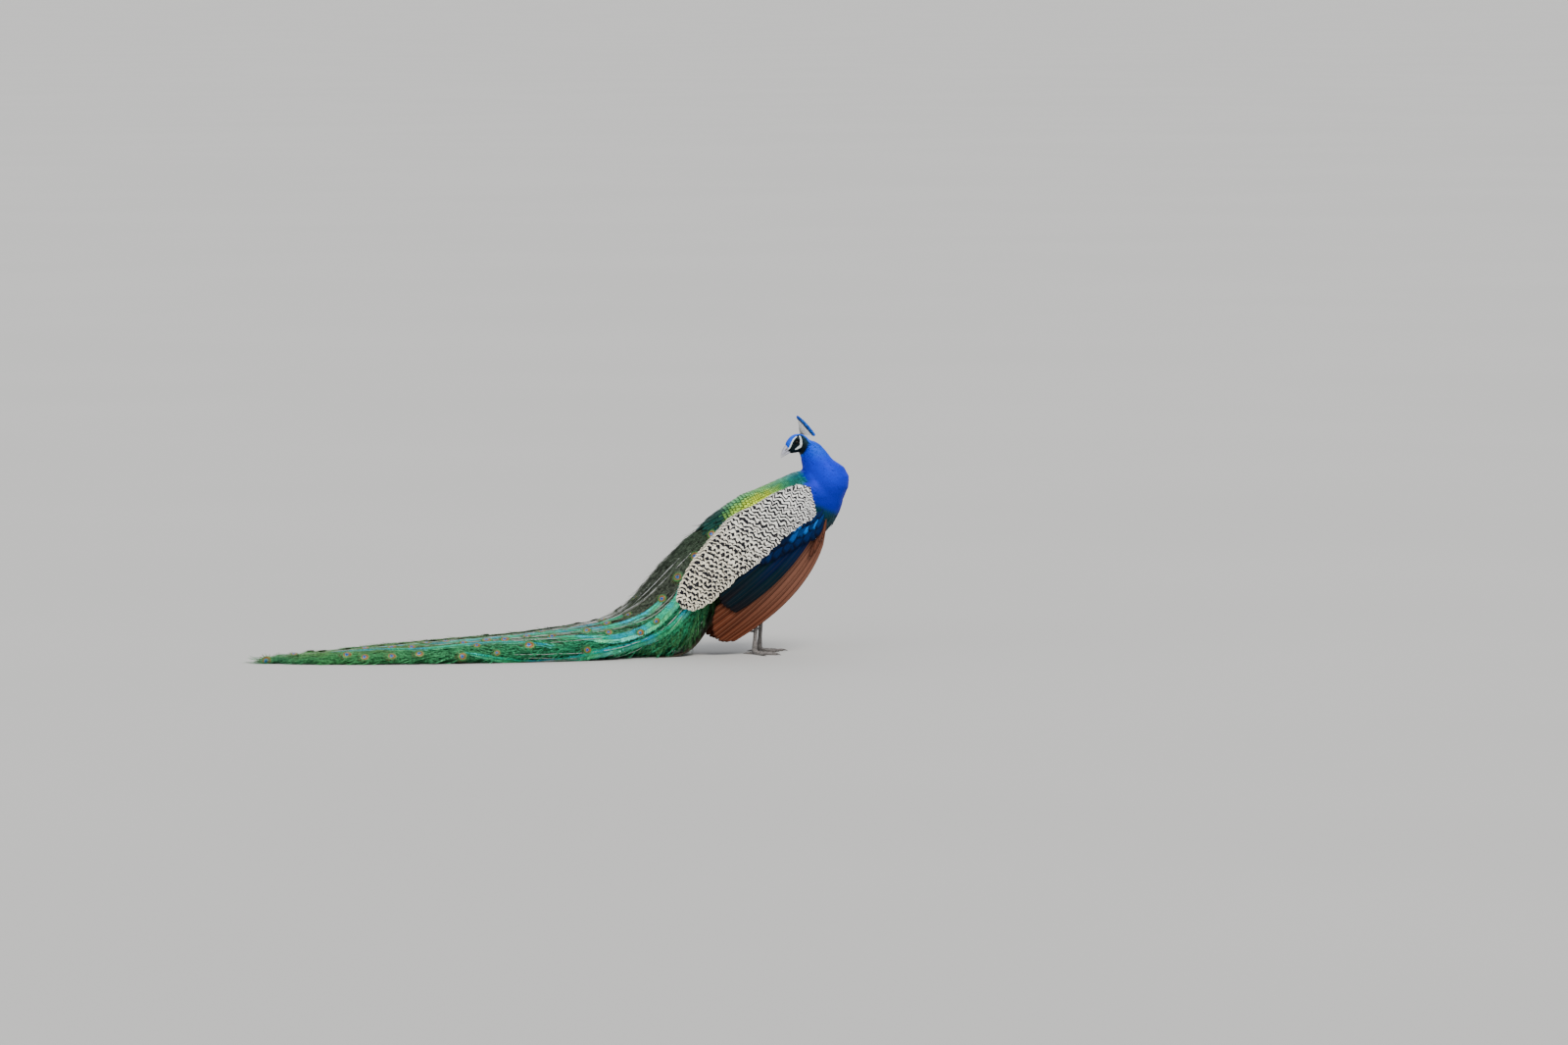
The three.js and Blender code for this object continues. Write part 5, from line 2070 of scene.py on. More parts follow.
        # Each row's kind and count, its first and last place, its depth, heading and size.
        rows = (
            (blue, 12, (0.026, 0.050), (0.196, 0.022), 0.0086, 0.36, 1.12),
            (blue, 14, (0.016, 0.038), (0.190, 0.006), 0.0076, 0.34, 0.92),
            (blue, 15, (0.010, 0.026), (0.182, -0.006), 0.0066, 0.32, 0.72),
            (rufous, 9, (0.018, 0.054), (0.074, 0.078), 0.0166, 0.66, 1.0),
        )
        # Painted highlights: the places where the coverts' gloss catches the light; the feathers whose tips
        # lie near them are painted bright azure.
        glints = mm((92, 40), (64, 45), (124, 29), (104, 23))  # the brightest places on the wing
        up = np.array([0.0, 0.0, 1.0])
        for roots, count, first, last, depth, turn, size in rows:
            for i in range(count):
                share = i / (count - 1)
                u, v = mix(first[0], last[0], share), mix(first[1], last[1], share)
                way = turn + rng.normal(0, 0.03)
                tip = np.array([u, v]) + 0.040 * size * np.array([math.cos(turn), math.sin(turn)])
                glow = float(np.exp(-((np.linalg.norm(glints - tip, axis=1).min() / 0.0085) ** 2)))
                base = mix((0.0005, 0.016, 0.085), (0.0003, 0.006, 0.030), rng.random())
                shade = mix(base, (0.0, 0.20, 0.78), glow)
                if roots is rufous:
                    shade = np.array([0.080, 0.024, 0.012])
                where = (0.1 + 0.8 * share, 0.1 + 0.1 * size)
                run = np.array([math.cos(way), math.sin(way), 0.0])
                place = np.array([u, v, -depth - 0.0003 * (i % 2)])
                roots.append(Root(place, up, run, size, shade * rng.uniform(0.8, 1.25), where))
        ink, rust, bronze = (0.0, 0.002, 0.010), (0.030, 0.008, 0.004), (0.26, 0.12, 0.08)
        glossy = FeatherFinish(
            "covert_plumes", 0.4, 0.4, 0.9, ink, barbs=26, rim_width=0.30, relief=0.00003
        )
        matt = FeatherFinish("rufous_covert_plumes", 0.75, 0.0, 0.8, rust, 0.5, bronze, 40, relief=0.00003)
        for kind, roots, finish, slot, wide in (
            ("coverts", blue, glossy, "blue_black_feathers", 0.019),
            ("rufous_coverts", rufous, matt, "rufous_feathers", 0.0115),
        ):
            name = f"wing_{self.name}_{kind}"
            shapes = [vane(self.covert_length, wide, 0.045, 0.02, 0.05, 7, 0.015)]
            coat = self.rows.grow(name, roots_mesh(roots), shapes, shared(finish), wander=(0.0, 0.01, 0.04))
            self.stage.show(name, self.lay(coat), None, slot)

    def _long_feathers(self) -> None:
        """The dark secondaries and the chestnut primaries."""
        secondaries = Fan(
            count=8,
            roots=mm((92, 14), (50, 26), (37, 49)),
            bends=mm((240, 16), (222, 66), (205, 128)),
            tips=mm((384, 28), (392, 66), (376, 108)),
            depth=0.0108,
            step=0.0006,
            tip=0.030,
        )
        primaries = Fan(
            count=10,
            roots=mm((66, 50), (44, 62), (30, 76)),
            bends=mm((240, 62), (222, 130), (166, 202)),
            tips=mm((412, 62), (446, 92), (462, 128), (452, 152), (424, 172)),
            depth=0.0176,
            step=0.0009,
            tip=0.022,
            dip=0.014,
        )
        navy, rust = (0.001, 0.006, 0.012), (0.022, 0.006, 0.003)
        glossy = FeatherFinish(
            "secondary_plumes", 0.5, 0.2, 0.7, navy, 0.5, (0.030, 0.026, 0.024), 70, 0.1, 0.12, gloss=0.08
        )
        # Each primary's rim is darkened partly as its own darker edge and partly as painted shade where the
        # blades overlap.
        matt = FeatherFinish(
            "primary_plumes", 0.75, 0.0, 0.85, rust, 0.6, (0.24, 0.11, 0.065), 70, 0.1, 0.16, gloss=0.08
        )
        looks = (
            ("secondaries", secondaries, self._dark, glossy, "blue_black_feathers"),
            ("primaries", primaries, self._chestnut, matt, "rufous_feathers"),
        )
        for name, fan, colours, finish, slot in looks:
            parts = []
            for i in range(fan.count):
                blade = fan.blade(self.point, i)
                parts.append(blade.painted(colours(blade, i)))
            mesh = Shape.joined(parts).mesh(name)
            if self.side > 0:
                mesh.flip_normals()
            node = f"wing_{self.name}_{name}"
            self.stage.show(f"{node}_vanes", mesh, shared(finish), slot, [node])

    def _dark(self, blade: Shape, i: int) -> Array:
        """Colours of a secondary: navy by the coverts, then green-black, then brown-black."""
        t = blade.leaf[:, 1:2]
        navy, green, brown = np.array([[0.0005, 0.010, 0.055], [0.001, 0.012, 0.020], [0.006, 0.005, 0.007]])
        early = 0.10 * math.sin(i * 1.7)
        colour = mix(navy, green, eased((t - 0.20 - early) / 0.22))
        colour = mix(colour, brown, eased((t - 0.44 - early) / 0.25))
        return colour * (0.7 + 0.6 * ((i * 0.618) % 1))

    def _chestnut(self, blade: Shape, i: int) -> Array:
        """Colours of a primary: pink-brown at its base, chestnut, and dark at its tip."""
        t = blade.leaf[:, 1:2]
        pink, rust, tip = np.array([[0.17, 0.070, 0.045], [0.100, 0.026, 0.011], [0.022, 0.005, 0.0024]])
        colour = mix(mix(pink, rust, eased((t - 0.22) / 0.38)), tip, eased((t - 0.62) / 0.30))
        return colour * (0.75 + 0.5 * ((i * 0.618) % 1))


# ---- Scaled back -------------------------------------------------------------------------------


@dataclass
class BackScales:
    """The scale-like feathers of the back, in staggered rows from the neck to the train."""

    stage: Stage
    rows: FeatherTree
    surface: BVHTree
    first: float = 0.24
    last: float = 0.995
    half_angle: float = 88.0
    girth: float = 0.078  # the back's own radius, by which a row's pitch is turned into an angle
    front_pitch: float = 0.0052
    rear_pitch: float = 0.0102
    rump_pitch: float = 0.0115
    rump_rows: tuple[float, ...] = (0.80, 0.82, 0.84, 0.855)

    def build(self) -> None:
        """Makes the coat."""
        rng = np.random.default_rng(31)
        roots: list[Root] = []
        share, row = self.first, 0
        while share < self.last:
            grown = float(eased((share - 0.50) / 0.26))
            pitch = mix(self.front_pitch, self.rear_pitch, grown)
            self._ring(roots, share, pitch, row % 2, rng)
            share += pitch * 0.88 / SPINE.length
            row += 1
        finish = FeatherFinish(
            "back_plumes", 0.42, 0.25, 1.0, (0.001, 0.010, 0.010), barbs=8, rim_width=0.24, relief=0.00003
        )
        long = vane(0.0200, 0.0136, 0.13, 0.03, 0.08, 5, 0.03)
        short = vane(0.0195, 0.0130, 0.135, 0.03, 0.08, 5, 0.03)
        self._show("back_scales", roots, [long, short], finish, (0.04, 0.04, 0.05), 0.06)
        rump: list[Root] = []
        for row, share in enumerate(self.rump_rows):
            self._ring(rump, share, self.rump_pitch, row % 2, rng, np.array([0.004, 0.055, 0.045]))
        finish = FeatherFinish(
            "rump_plumes", 0.42, 0.3, 1.0, (0.001, 0.006, 0.006), 0.3, (0.10, 0.22, 0.08), 20, rim_width=0.16
        )
        long = vane(0.058, 0.0125, 0.10, 0.11, 0.08, 6, 0.03)
        short = vane(0.048, 0.0110, 0.12, 0.12, 0.08, 6, 0.03)
        self._show("rump_feathers", rump, [long, short], finish, (0.06, 0.04, 0.10), 0.15)

    def _show(
        self, name: str, roots: list[Root], shapes: list[Shape], finish: FeatherFinish,
        wander: Colour, spread: float,
    ) -> None:
        """Grows a coat in rows and shows it.

        Args:
            name: The coat's name.
            roots: Its roots.
            shapes: Its feathers.
            finish: Its finish.
            wander: The most that a feather turns about its length, its width and its face.
            spread: How much the feathers differ in size.
        """
        mesh, material = roots_mesh(roots), finish.material()
        coat = self.rows.grow(name, mesh, shapes, material, wander=wander, spread=spread)
        self.stage.show(name, coat, None, "back_feathers")

    def _ring(
        self, roots: list[Root], share: float, pitch: float, odd: int, rng: np.random.Generator,
        colour: Array | None = None,
    ) -> None:
        """Adds a row of feathers across the back.

        Args:
            roots: Where the feathers are kept.
            share: How far the row lies down the spine.
            pitch: The distance between its feathers.
            odd: Whether the row is staggered, 0 or 1.
            rng: What the colours vary by.
            colour: The feathers' colour, or None for the back's own.
        """
        step = math.degrees(pitch / self.girth)
        for angle in np.arange(-self.half_angle + odd * step / 2, self.half_angle, step):
            here = foothold(self.surface, SPINE, share, angle, 0.35)
            if here is None or PLUMAGE.on_back(here[0][None])[0] < 0.06:
                continue
            place, up, along = here
            shade = PLUMAGE.back(place[None])[0] if colour is None else colour
            size = (pitch + 0.0012) / 0.0114 if colour is None else 1.0
            where = (angle / 200 + 0.5, share)
            roots.append(Root(place - up * 0.0003, up, along, size, shade * rng.uniform(0.8, 1.25), where))


# ---- Tail and train ----------------------------------------------------------------------------


@dataclass
class Tail:
    """The stiff dark feathers that prop up the train."""

    stage: Stage
    count: int = 9
    line: Array = field(
        default_factory=lambda: mm(
            (-58, 0, 218), (-98, 0, 148), (-135, 0, 80), (-180, 0, 26), (-236, 0, 3.6), (-330, 0, 2.6)
        )
    )

    def build(self) -> None:
        """Makes the fan."""
        fan = Fan(
            count=self.count,
            roots=np.array([[0, -0.016], [0, 0], [0, 0.016]]),
            bends=np.array([[0.5, -0.048], [0.5, 0], [0.5, 0.048]]),
            tips=np.array([[0.9, -0.084], [0.98, -0.044], [1, 0], [0.98, 0.044], [0.9, 0.084]]),
            depth=0.0,
            step=0.0011,
            thickness=0.0006,
            lap=0.10,
            tip=0.05,
        )
        parts = [self._tinted(fan.blade(self._place, i), i) for i in range(self.count)]
        mesh = Shape.joined(parts).mesh("tail_vanes")
        rim, shaft = (0.03, 0.02, 0.012), (0.25, 0.2, 0.14)
        finish = FeatherFinish("tail_plumes", 0.6, 0.0, 0.4, rim, 0.7, shaft, 60)
        self.stage.show("tail_vanes", mesh, finish.material(), "tail_feathers", ["tail_fan"])

    def _place(self, along: Array, across: Array, depth: Any) -> Array:
        """Points along and across the fan, sunk below its top by a depth and kept off the floor."""
        middle = spline(self.line, along)
        behind, ahead = (spline(self.line, np.clip(along + step, 0, 1)) for step in (-0.01, 0.01))
        run = unit(ahead - behind)
        sunk = np.broadcast_to(np.asarray(depth), along.shape)
        place = middle + np.stack([sunk * run[..., 2], across, sunk * run[..., 0]], axis=-1)
        place[..., 2] = np.maximum(place[..., 2], 0.0008)
        return place

    def _tinted(self, blade: Shape, i: int) -> Shape:
        """A tail feather in brown, faintly barred."""
        t = blade.leaf[:, 1:2]
        colour = mix((0.10, 0.075, 0.052), (0.050, 0.038, 0.028), t)
        colour = colour * (0.70 + 0.45 * ((i * 0.618) % 1)) * (1 - 0.3 * eased(2 * np.sin(t * 120) - 0.4))
        return blade.painted(colour)


@dataclass(frozen=True)
class BarbFinish:
    """Loose glossy barbs, paler towards their tips."""

    name: str
    metallic: float = 0.3
    tip: float = 1.5

    def material(self) -> bpy.types.Material:
        """Builds the material."""
        n = Nodes(self.name)
        _, along = n.leaf()
        lit = n.step(along, 0.0, 1.0, (0.65, self.tip))
        colour = n.blend(1.0, n.tint(), lit, "MULTIPLY")
        colour = n.mottled(colour, n.noise(130.0, 3.0), 0.32, 0.70, (0.45, 1.75))
        n.set(Base_Color=colour, Roughness=0.45, Metallic=self.metallic, Specular_IOR_Level=0.15)
        return n.material


@dataclass(frozen=True)
class OcellusFinish:
    """The rings of an eye feather: violet, blue, turquoise, copper, gold and green."""

    name: str = "ocellus_rings"

    def material(self) -> bpy.types.Material:
        """Builds the material."""
        n = Nodes(self.name)
        across, along = n.leaf()
        x = n.minus(across, 0.5)
        y = n.minus(along, 0.5)
        notch = n.times(n.step(n.size(x), 0.05, 0.0), 0.05)
        ahead = n.plus(n.times(n.minus(y, 0.045), 1.1), notch)
        centre = n.math("SQRT", n.plus(n.math("POWER", x, 2.0), n.math("POWER", ahead, 2.0)))
        whole = n.math("SQRT", n.plus(n.math("POWER", x, 2.0), n.math("POWER", n.times(y, 0.92), 2.0)))
        rough = n.times(n.minus(n.noise(500.0, 2.0), 0.5), 0.03)
        whole = n.plus(whole, rough)
        centre = n.plus(centre, rough)
        colour = n.blend(n.step(whole, 0.165, 0.195), (0.22, 0.080, 0.022), (0.20, 0.19, 0.03))
        colour = n.blend(n.step(whole, 0.200, 0.225), colour, (0.03, 0.20, 0.05))
        colour = n.blend(n.step(whole, 0.255, 0.32), colour, (0.09, 0.12, 0.03))
        colour = n.blend(n.step(centre, 0.112, 0.096), colour, (0.0, 0.26, 0.42))
        colour = n.blend(n.step(centre, 0.078, 0.062), colour, (0.004, 0.012, 0.34))
        n.set(Base_Color=colour, Roughness=0.34, Metallic=0.35)
        slant = n.plus(along, n.times(n.size(x), -0.8))
        n.bump(n.sine(n.times(slant, 150.0)), 0.00012)
        return n.material


def eye_disc(radius: float, fringe: float, seed: int) -> Shape:
    """An eye feather's disc with loose barbs round it.

    Args:
        radius: The disc's radius.
        fringe: How far the barbs reach beyond it.
        seed: The seed of the barbs' lengths.

    Returns:
        The shape, whose leaf map is centred on the disc.
    """
    rng = np.random.default_rng(seed)
    rings, sectors = 5, 16
    turn = np.arange(sectors) * math.tau / sectors
    points = [np.array([[0, 0, 0.0022]])]
    for r in range(1, rings + 1):
        share = r / rings
        ring = np.column_stack([1.12 * np.cos(turn), 0.92 * np.sin(turn)]) * radius * share
        points.append(np.column_stack([ring, np.full(sectors, 0.0022 * (1 - share**2))]))
    body = np.vstack(points)
    faces: list[tuple[int, ...]] = [(0, 1 + k, 1 + (k + 1) % sectors) for k in range(sectors)]
    for r in range(rings - 1):
        for k in range(sectors):
            a, b = 1 + r * sectors + k, 1 + r * sectors + (k + 1) % sectors
            faces.append((a, a + sectors, b + sectors, b))
    faces.append(tuple(1 + (rings - 1) * sectors + k for k in range(sectors - 1, -1, -1)))
    full = radius + fringe
    parts = [Shape(body, faces, np.zeros((len(body), 2)))]
    for k in range(32):
        angle = k * math.tau / 32 + rng.uniform(-0.1, 0.1)
        out = np.array([math.cos(angle), 0.9 * math.sin(angle), 0])
        sweep = np.array([1.0, 0, 0]) * fringe * 0.7
        root = out * radius * 0.72 + np.array([0, 0, 0.0009])
        tip = out * (radius + fringe * rng.uniform(0.4, 0.9)) + sweep * 0.5
        tip[2] += rng.uniform(-0.001, 0.002)
        parts.append(barb(np.array([root, mix(root, tip, 0.55) - sweep * 0.1, tip]), 0.0011, 2))
    whole = Shape.joined(parts)
    leaf = 0.5 + whole.points[:, [1, 0]] / (2 * full)
    return Shape(whole.points, whole.faces, leaf)


@dataclass
class Train:
    """The long coverts of the tail: a dark core, loose barbs, ribbons, quills and eyes."""

    stage: Stage
    strewn: FeatherTree
    rows: FeatherTree
    voxel: float = 0.0045
    half_width: float = 0.150
    nodes: tuple[str, ...] = ("train_base", "train_middle", "train_end")
    lengths: tuple[float, ...] = (-0.01, 0.13, 0.27, 0.48, 0.74, 1.01)  # shares where its coat is parted
    barb_spacings: tuple[float, ...] = (0.0070, 0.0085, 0.0095, 0.0098, 0.0098)
    # Each ribbon's first and last share, its angles there, and its size.
    bands: tuple[tuple[float, ...], ...] = (
        (0.02, 0.20, 62, 72, 1.0),
        (0.05, 0.46, 84, 80, 1.15), (0.12, 0.62, 108, 92, 1.0), (0.20, 0.70, 62, 60, 0.8),
        (0.30, 0.80, 40, 48, 0.75), (0.45, 0.86, 84, 76, 0.7),
    )
    barb_length: float = 0.052
    barb_width: float = 0.0013
    tuft_barbs: int = 7
    tuft_splay: float = 0.30
    rib_step: float = 0.0017
    eye_radius: float = 0.0122
    eye_fringe: float = 0.0105
    quill_count: int = 54
    eye_count: int = 84
    eye_tries: int = 900
    # The share along the train, and degrees round it, of the eyes beside the wing.
    first_eyes: tuple[tuple[float, float], ...] = (
        (0.050, -44.0), (0.100, -48.0), (0.150, -50.0), (0.205, -57.0),
    )
    line: Path = field(
        default_factory=lambda: Path(
            mm(
                (-40, 0, 352), (-85, 0, 315), (-135, 0, 255), (-180, 0, 197), (-229, 0, 137),
                (-288, 0, 87), (-366, 0, 56), (-464, 0, 38), (-700, 0, 28), (-1000, 0, 20),
                (-1200, 0, 14), (-1392, 0, 5),
            ),
            300,
        )
    )

    def build(self) -> None:
        """Makes the train's pieces."""
        self._core()
        self._barbs()
        self._ribbons()
        self._quills()
        self._ocelli()
        self._wisps()

    def _core(self) -> None:
        """Wraps the train's solids, and keeps the lie and the colour of its coats."""
        self.skin = Skin(self.stage, self.nodes, self.voxel, 6)
        mesh = self.skin.mesh
        self.skin.sink(self._depth(coordinates(mesh), normals(mesh)))
        self._above_floor(mesh)
        self.points, self.facing = coordinates(mesh), normals(mesh)
        self.share, _ = self.line.nearest(self.points)
        run = self.line.along(self.share)
        out = self.points - self.line.at(self.share)
        flare = run + 0.5 * out * eased((self.share - 0.3) / 0.3)[:, None]
        along = unit(flare - self.facing * (flare * self.facing).sum(1, keepdims=True))
        self.skin.mark(along, self.colour(self.points, self.share))
        self.surface = self.skin.surface()
        angle = np.arctan2(out[:, 1], out[:, 2] + 1e-6) / math.tau + 0.5
        place = np.column_stack([0.02 + 0.96 * self.share, 0.04 + 0.92 * angle])
        lay_out(mesh, "unwrap", place[corner_vertices(mesh)])

    def _depth(self, points: Array, facing: Array) -> Array:
        """How deep the core lies below the solids' faces, and hardly at all on the floor."""
        share, _ = self.line.nearest(points)
        depth = mix(0.0065, 0.0035, eased((share - 0.25) / 0.7))
        return depth * (1 - 0.9 * eased((-facing[:, 2] - 0.2) / 0.5) * (points[:, 2] < 0.03))

    def colour(self, points: Array, share: Array) -> Array:
        """The colour of the barbs at places on the train.

        Args:
            points: The places.
            share: How far along the train each of them lies.

        Returns:
            One colour for each.
        """
        stops = (0.0, 0.05, 0.16, 0.40, 0.65, 0.85, 1.0)
        top = (
            (0.05, 0.16, 0.05), (0.040, 0.062, 0.038), (0.050, 0.060, 0.044),
            (0.075, 0.095, 0.056), (0.080, 0.15, 0.050), (0.07, 0.20, 0.05), (0.04, 0.17, 0.07),
        )
        low = (
            (0.06, 0.22, 0.06), (0.05, 0.22, 0.07), (0.02, 0.20, 0.09), (0.02, 0.20, 0.09),
            (0.03, 0.19, 0.07), (0.04, 0.20, 0.06), (0.02, 0.15, 0.08),
        )
        line = self.line.at(share)
        run = self.line.along(share)
        above = np.cross(run, LEFT)
        above *= np.sign(above[:, 2:3])
        rise = ((points - line) * above).sum(1)
        wide = np.abs(points[:, 1])
        side = eased((0.02 + 0.6 * (wide - 0.05) - rise) / 0.035 + 0.4 * waves(points, 0.12, 9))
        return mix(read(top, stops, share), read(low, stops, share), side[:, None])

    def _tuft(self, seed: int) -> Shape:
        """Several barbs that leave a quill to both sides.

        Args:
            seed: The seed of all that is random.

        Returns:
            The tuft.
        """
        rng = np.random.default_rng(seed)
        parts = []
        for k in range(self.tuft_barbs):
            side = 1 if k % 2 else -1
            root = np.array([0.014 * k / self.tuft_barbs, 0, 0])
            reach = self.barb_length * rng.uniform(0.75, 1.1)
            out = self.tuft_splay * rng.uniform(0.5, 1.2)
            knee = root + np.array([0.45 * reach, side * 0.45 * reach * out, 0.0035 * rng.uniform(0.3, 1.4)])
            aside = side * reach * out * rng.uniform(0.4, 1.3)
            tip = root + np.array([reach, aside, 0.004 * rng.uniform(-1.2, 1.6)])
            parts.append(barb(np.array([root, knee, tip]), self.barb_width))
        return Shape.joined(parts)

    def _barbs(self) -> None:
        """The loose barbs that cover the train, in lengths."""
        finish = BarbFinish("train_barbs").material()
        under = eased((self.facing[:, 2] + 0.55) / 0.3) * 1.0
        floor = (self.points[:, 2] > 0.004) | (self.facing[:, 2] > 0)
        shapes = [self._tuft(40 + k) for k in range(4)]
        reach = mix(1.0, 0.85, eased((self.share - 0.7) / 0.3))
        wander, spread = (0.10, 0.12, 0.30), 0.2
        for i, (low, high) in enumerate(zip(self.lengths, self.lengths[1:])):
            inside = (self.share >= low) & (self.share < high)
            mesh = self.skin.coated(inside * np.maximum(under, 0.25) * floor, reach)
            name, spacing = f"train_barbs_{i}", self.barb_spacings[i]
            self._show(name, self.strewn.grow(name, mesh, shapes, finish, spacing, wander, spread, 50 + i))
        core = self.skin.mesh.copy()
        # Painted shade: the core is painted at three tenths of the barbs' colour, as the shade beneath them.
        repaint(core, "tint", self.colour(self.points, self.share) * 0.30)
        down = SkinFinish("train_core_down", 0.85).material()
        self.stage.show("train_core", core, down, "train_feathers", self.nodes)

    def _show(self, name: str, mesh: bpy.types.Mesh, finish: bpy.types.Material | None = None) -> None:
        """Lays a piece of the train above the floor and shows it."""
        self._above_floor(mesh)
        self.stage.show(name, mesh, finish, "train_feathers")

    def _on_unwrap(self, share: float, angle: float) -> tuple[float, float]:
        """The place on the unwrap of a place along and round the train."""
        return 0.02 + 0.96 * share, angle / 360 + 0.5

    def _above_floor(self, mesh: bpy.types.Mesh) -> None:
        """Keeps a mesh off the floor and within the train's width."""
        points = coordinates(mesh)
        points[:, 2] = np.maximum(points[:, 2], 0.0005 + 0.0015 * np.abs(np.sin(points[:, 0] * 900)))
        over = np.maximum(np.abs(points[:, 1]) - self.half_width, 0)
        points[:, 1] = np.sign(points[:, 1]) * (np.abs(points[:, 1]) - over + 0.007 * np.tanh(over / 0.02))
        move_points(mesh, points)

    def on_surface(self, share: float, angle: float, lift: float) -> tuple[Array, Array, Array] | None:
        """A place on the train.

        Args:
            share: How far along it.
            angle: Degrees round it from the top, towards the bird's left.
            lift: How far off its core.

        Returns:
            The place, the way out and the way along, or None where there is no surface.
        """
        here = foothold(self.surface, self.line, share, angle, 0.3)
        if here is None:
            return None
        place, up, along = here
        return place + up * lift, up, along

    def _ribbons(self) -> None:
        """Dense teal vanes along the sides, ribbed like a ribbon."""
        rng = np.random.default_rng(61)
        roots: list[Root] = []
        for first, last, start_angle, end_angle, size in self.bands:
            for side in (-1, 1):
                share = first
                while share < last:
                    t = (share - first) / (last - first)
                    angle = side * (mix(start_angle, end_angle, t) + 4 * math.sin(t * 9 + start_angle))
                    full = 0.35 + 0.65 * math.sin(math.pi * min(1, 0.12 + t * 0.9)) ** 0.6
                    self._rib(roots, share, angle, size * full, rng)
                    share += self.rib_step / self.line.length
        ribs = [vane(0.0145, 0.0032, 0.22, 0.12, 0.1, 3)]
        finish = FeatherFinish("ribbon_plumes", 0.32, 0.5, 0.75, (0.0, 0.05, 0.05), barbs=3, flecks=0.35)
        wander, mesh = (0.06, 0.08, 0.08), roots_mesh(roots)
        coat = self.rows.grow("train_ribbons", mesh, ribs, finish.material(), wander=wander, spread=0.1)
        self._show("train_ribbons", coat)

    def _rib(
        self, roots: list[Root], share: float, angle: float, size: float, rng: np.random.Generator
    ) -> None:
        """Adds the two vanes of one rib of a ribbon.

        Args:
            roots: Where the vanes are kept.
            share: How far along the train it is.
            angle: Degrees round the train from its top, towards the bird's left.
            size: How large it is.
            rng: What its colours vary by.
        """
        here = self.on_surface(share, angle, 0.0055)
        if here is None:
            return
        place, up, run = here
        beside = np.cross(up, run)
        glow = float(waves(place[None], 0.09, 13)[0])
        teal, cyan = np.array([0.020, 0.56, 0.30]), np.array([0.008, 0.38, 0.50])
        for hand in (-1, 1):
            along = unit(run * 0.55 + beside * hand)
            colour = mix(teal, cyan, float(eased(0.5 + 0.6 * glow))) * rng.uniform(0.75, 1.25)
            if hand > 0:
                colour = mix(colour, (0.10, 0.34, 0.05), 0.45)
            roots.append(Root(place, up, along, size, colour, self._on_unwrap(share, angle)))

    def _quills(self) -> None:
        """Bare pale quills lying along the train."""
        rng = np.random.default_rng(71)
        parts = []
        for _ in range(self.quill_count):
            angle = rng.uniform(-112, 112)
            first = rng.uniform(0.03, 0.6)
            last = min(0.99, first + rng.uniform(0.16, 0.42))
            line = []
            drift = rng.uniform(-10, 10)
            for share in np.linspace(first, last, 30):
                t = (share - first) / (last - first)
                here = self.on_surface(share, angle + drift * t, 0.0065 - 0.004 * abs(2 * t - 1))
                if here is not None:
                    line.append(here[0])
            if len(line) < 8:
                continue
            thick = np.linspace(0.0011, 0.00045, len(line))
            pale = mix((0.55, 0.56, 0.55), (0.30, 0.30, 0.26), rng.random())
            parts.append(tube(np.array(line), thick, 5).painted(pale))
        horn = HornFinish("quill_horn", 0.35).material()
        self._show("train_quills", Shape.joined(parts).mesh("quills"), horn)

    def _ocelli(self) -> None:
        """The eye feathers, sparse by the body and thicker towards the end."""
        rng = np.random.default_rng(81)
        roots: list[Root] = []
        kept: list[Array] = []
        for k in range(self.eye_tries):
            share, angle = rng.uniform(0.02, 0.99) ** 0.9, rng.uniform(-105, 105)
            if k < len(self.first_eyes):
                share, angle = self.first_eyes[k]
            here = self.on_surface(share, angle, 0.0072)
            if here is None or len(kept) >= self.eye_count:
                continue
            place, up, run = here
            apart = mix(0.062, 0.048, float(eased((share - 0.15) / 0.2)))
            if kept and min(np.linalg.norm(np.array(kept) - place, axis=1)) < apart:
                continue
            kept.append(place)
            size = rng.uniform(0.85, 1.15) * mix(0.66, 1.0, float(eased((share - 0.10) / 0.3)))
            size = 1.0 if k < len(self.first_eyes) else size
            green = np.array([0.1, 0.2, 0.05])
            roots.append(Root(place, up, run, size, green, self._on_unwrap(share, angle)))
        shapes = [eye_disc(self.eye_radius, self.eye_fringe, k) for k in range(3)]
        finish, wander = OcellusFinish().material(), (0.12, 0.08, 0.2)
        coat = self.rows.grow("train_ocelli", roots_mesh(roots), shapes, finish, wander=wander)
        self._show("train_ocelli", coat)

    def _wisps(self) -> None:
        """Long fine barbs that hang from under the train where it leaves the body."""
        hang = unit(np.array([[-0.35, 0.0, -1.0]]))
        facing = self.facing
        along = unit(hang - facing * (facing @ hang[0])[:, None] * 0.8)
        repaint(self.skin.mesh, "along", along)
        below = eased((-facing[:, 0] * -0.6 - facing[:, 2] - 0.1) / 0.4)
        cover = below * (self.share < 0.30) * (self.points[:, 2] > 0.05)
        green = np.array([0.045, 0.165, 0.055]) * (0.8 + 0.5 * eased(waves(self.points, 0.05, 4)))[:, None]
        repaint(self.skin.mesh, "tint", green)
        shapes = []
        for k in range(4):
            rng = np.random.default_rng(90 + k)
            strands = []
            for _ in range(3):
                bend = rng.uniform(-0.3, 0.3)
                tip = (66, 34 * bend, rng.uniform(-10, 6))
                path = mm((0, 0, 0), (22, 3 * bend, 4), (46, 16 * bend, 3), tip)
                strands.append(barb(path + [0, rng.uniform(-0.004, 0.004), 0], 0.0009, 4))
            shapes.append(Shape.joined(strands))
        mesh, finish = self.skin.coated(cover), BarbFinish("wisp_barbs", 0.2).material()
        spacing, wander, spread, seed = 0.0072, (0.3, 0.35, 0.5), 0.35, 95
        coat = self.strewn.grow("train_wisps", mesh, shapes, finish, spacing, wander, spread, seed)
        self._show("train_wisps", coat)


# ---- The room ----------------------------------------------------------------------------------


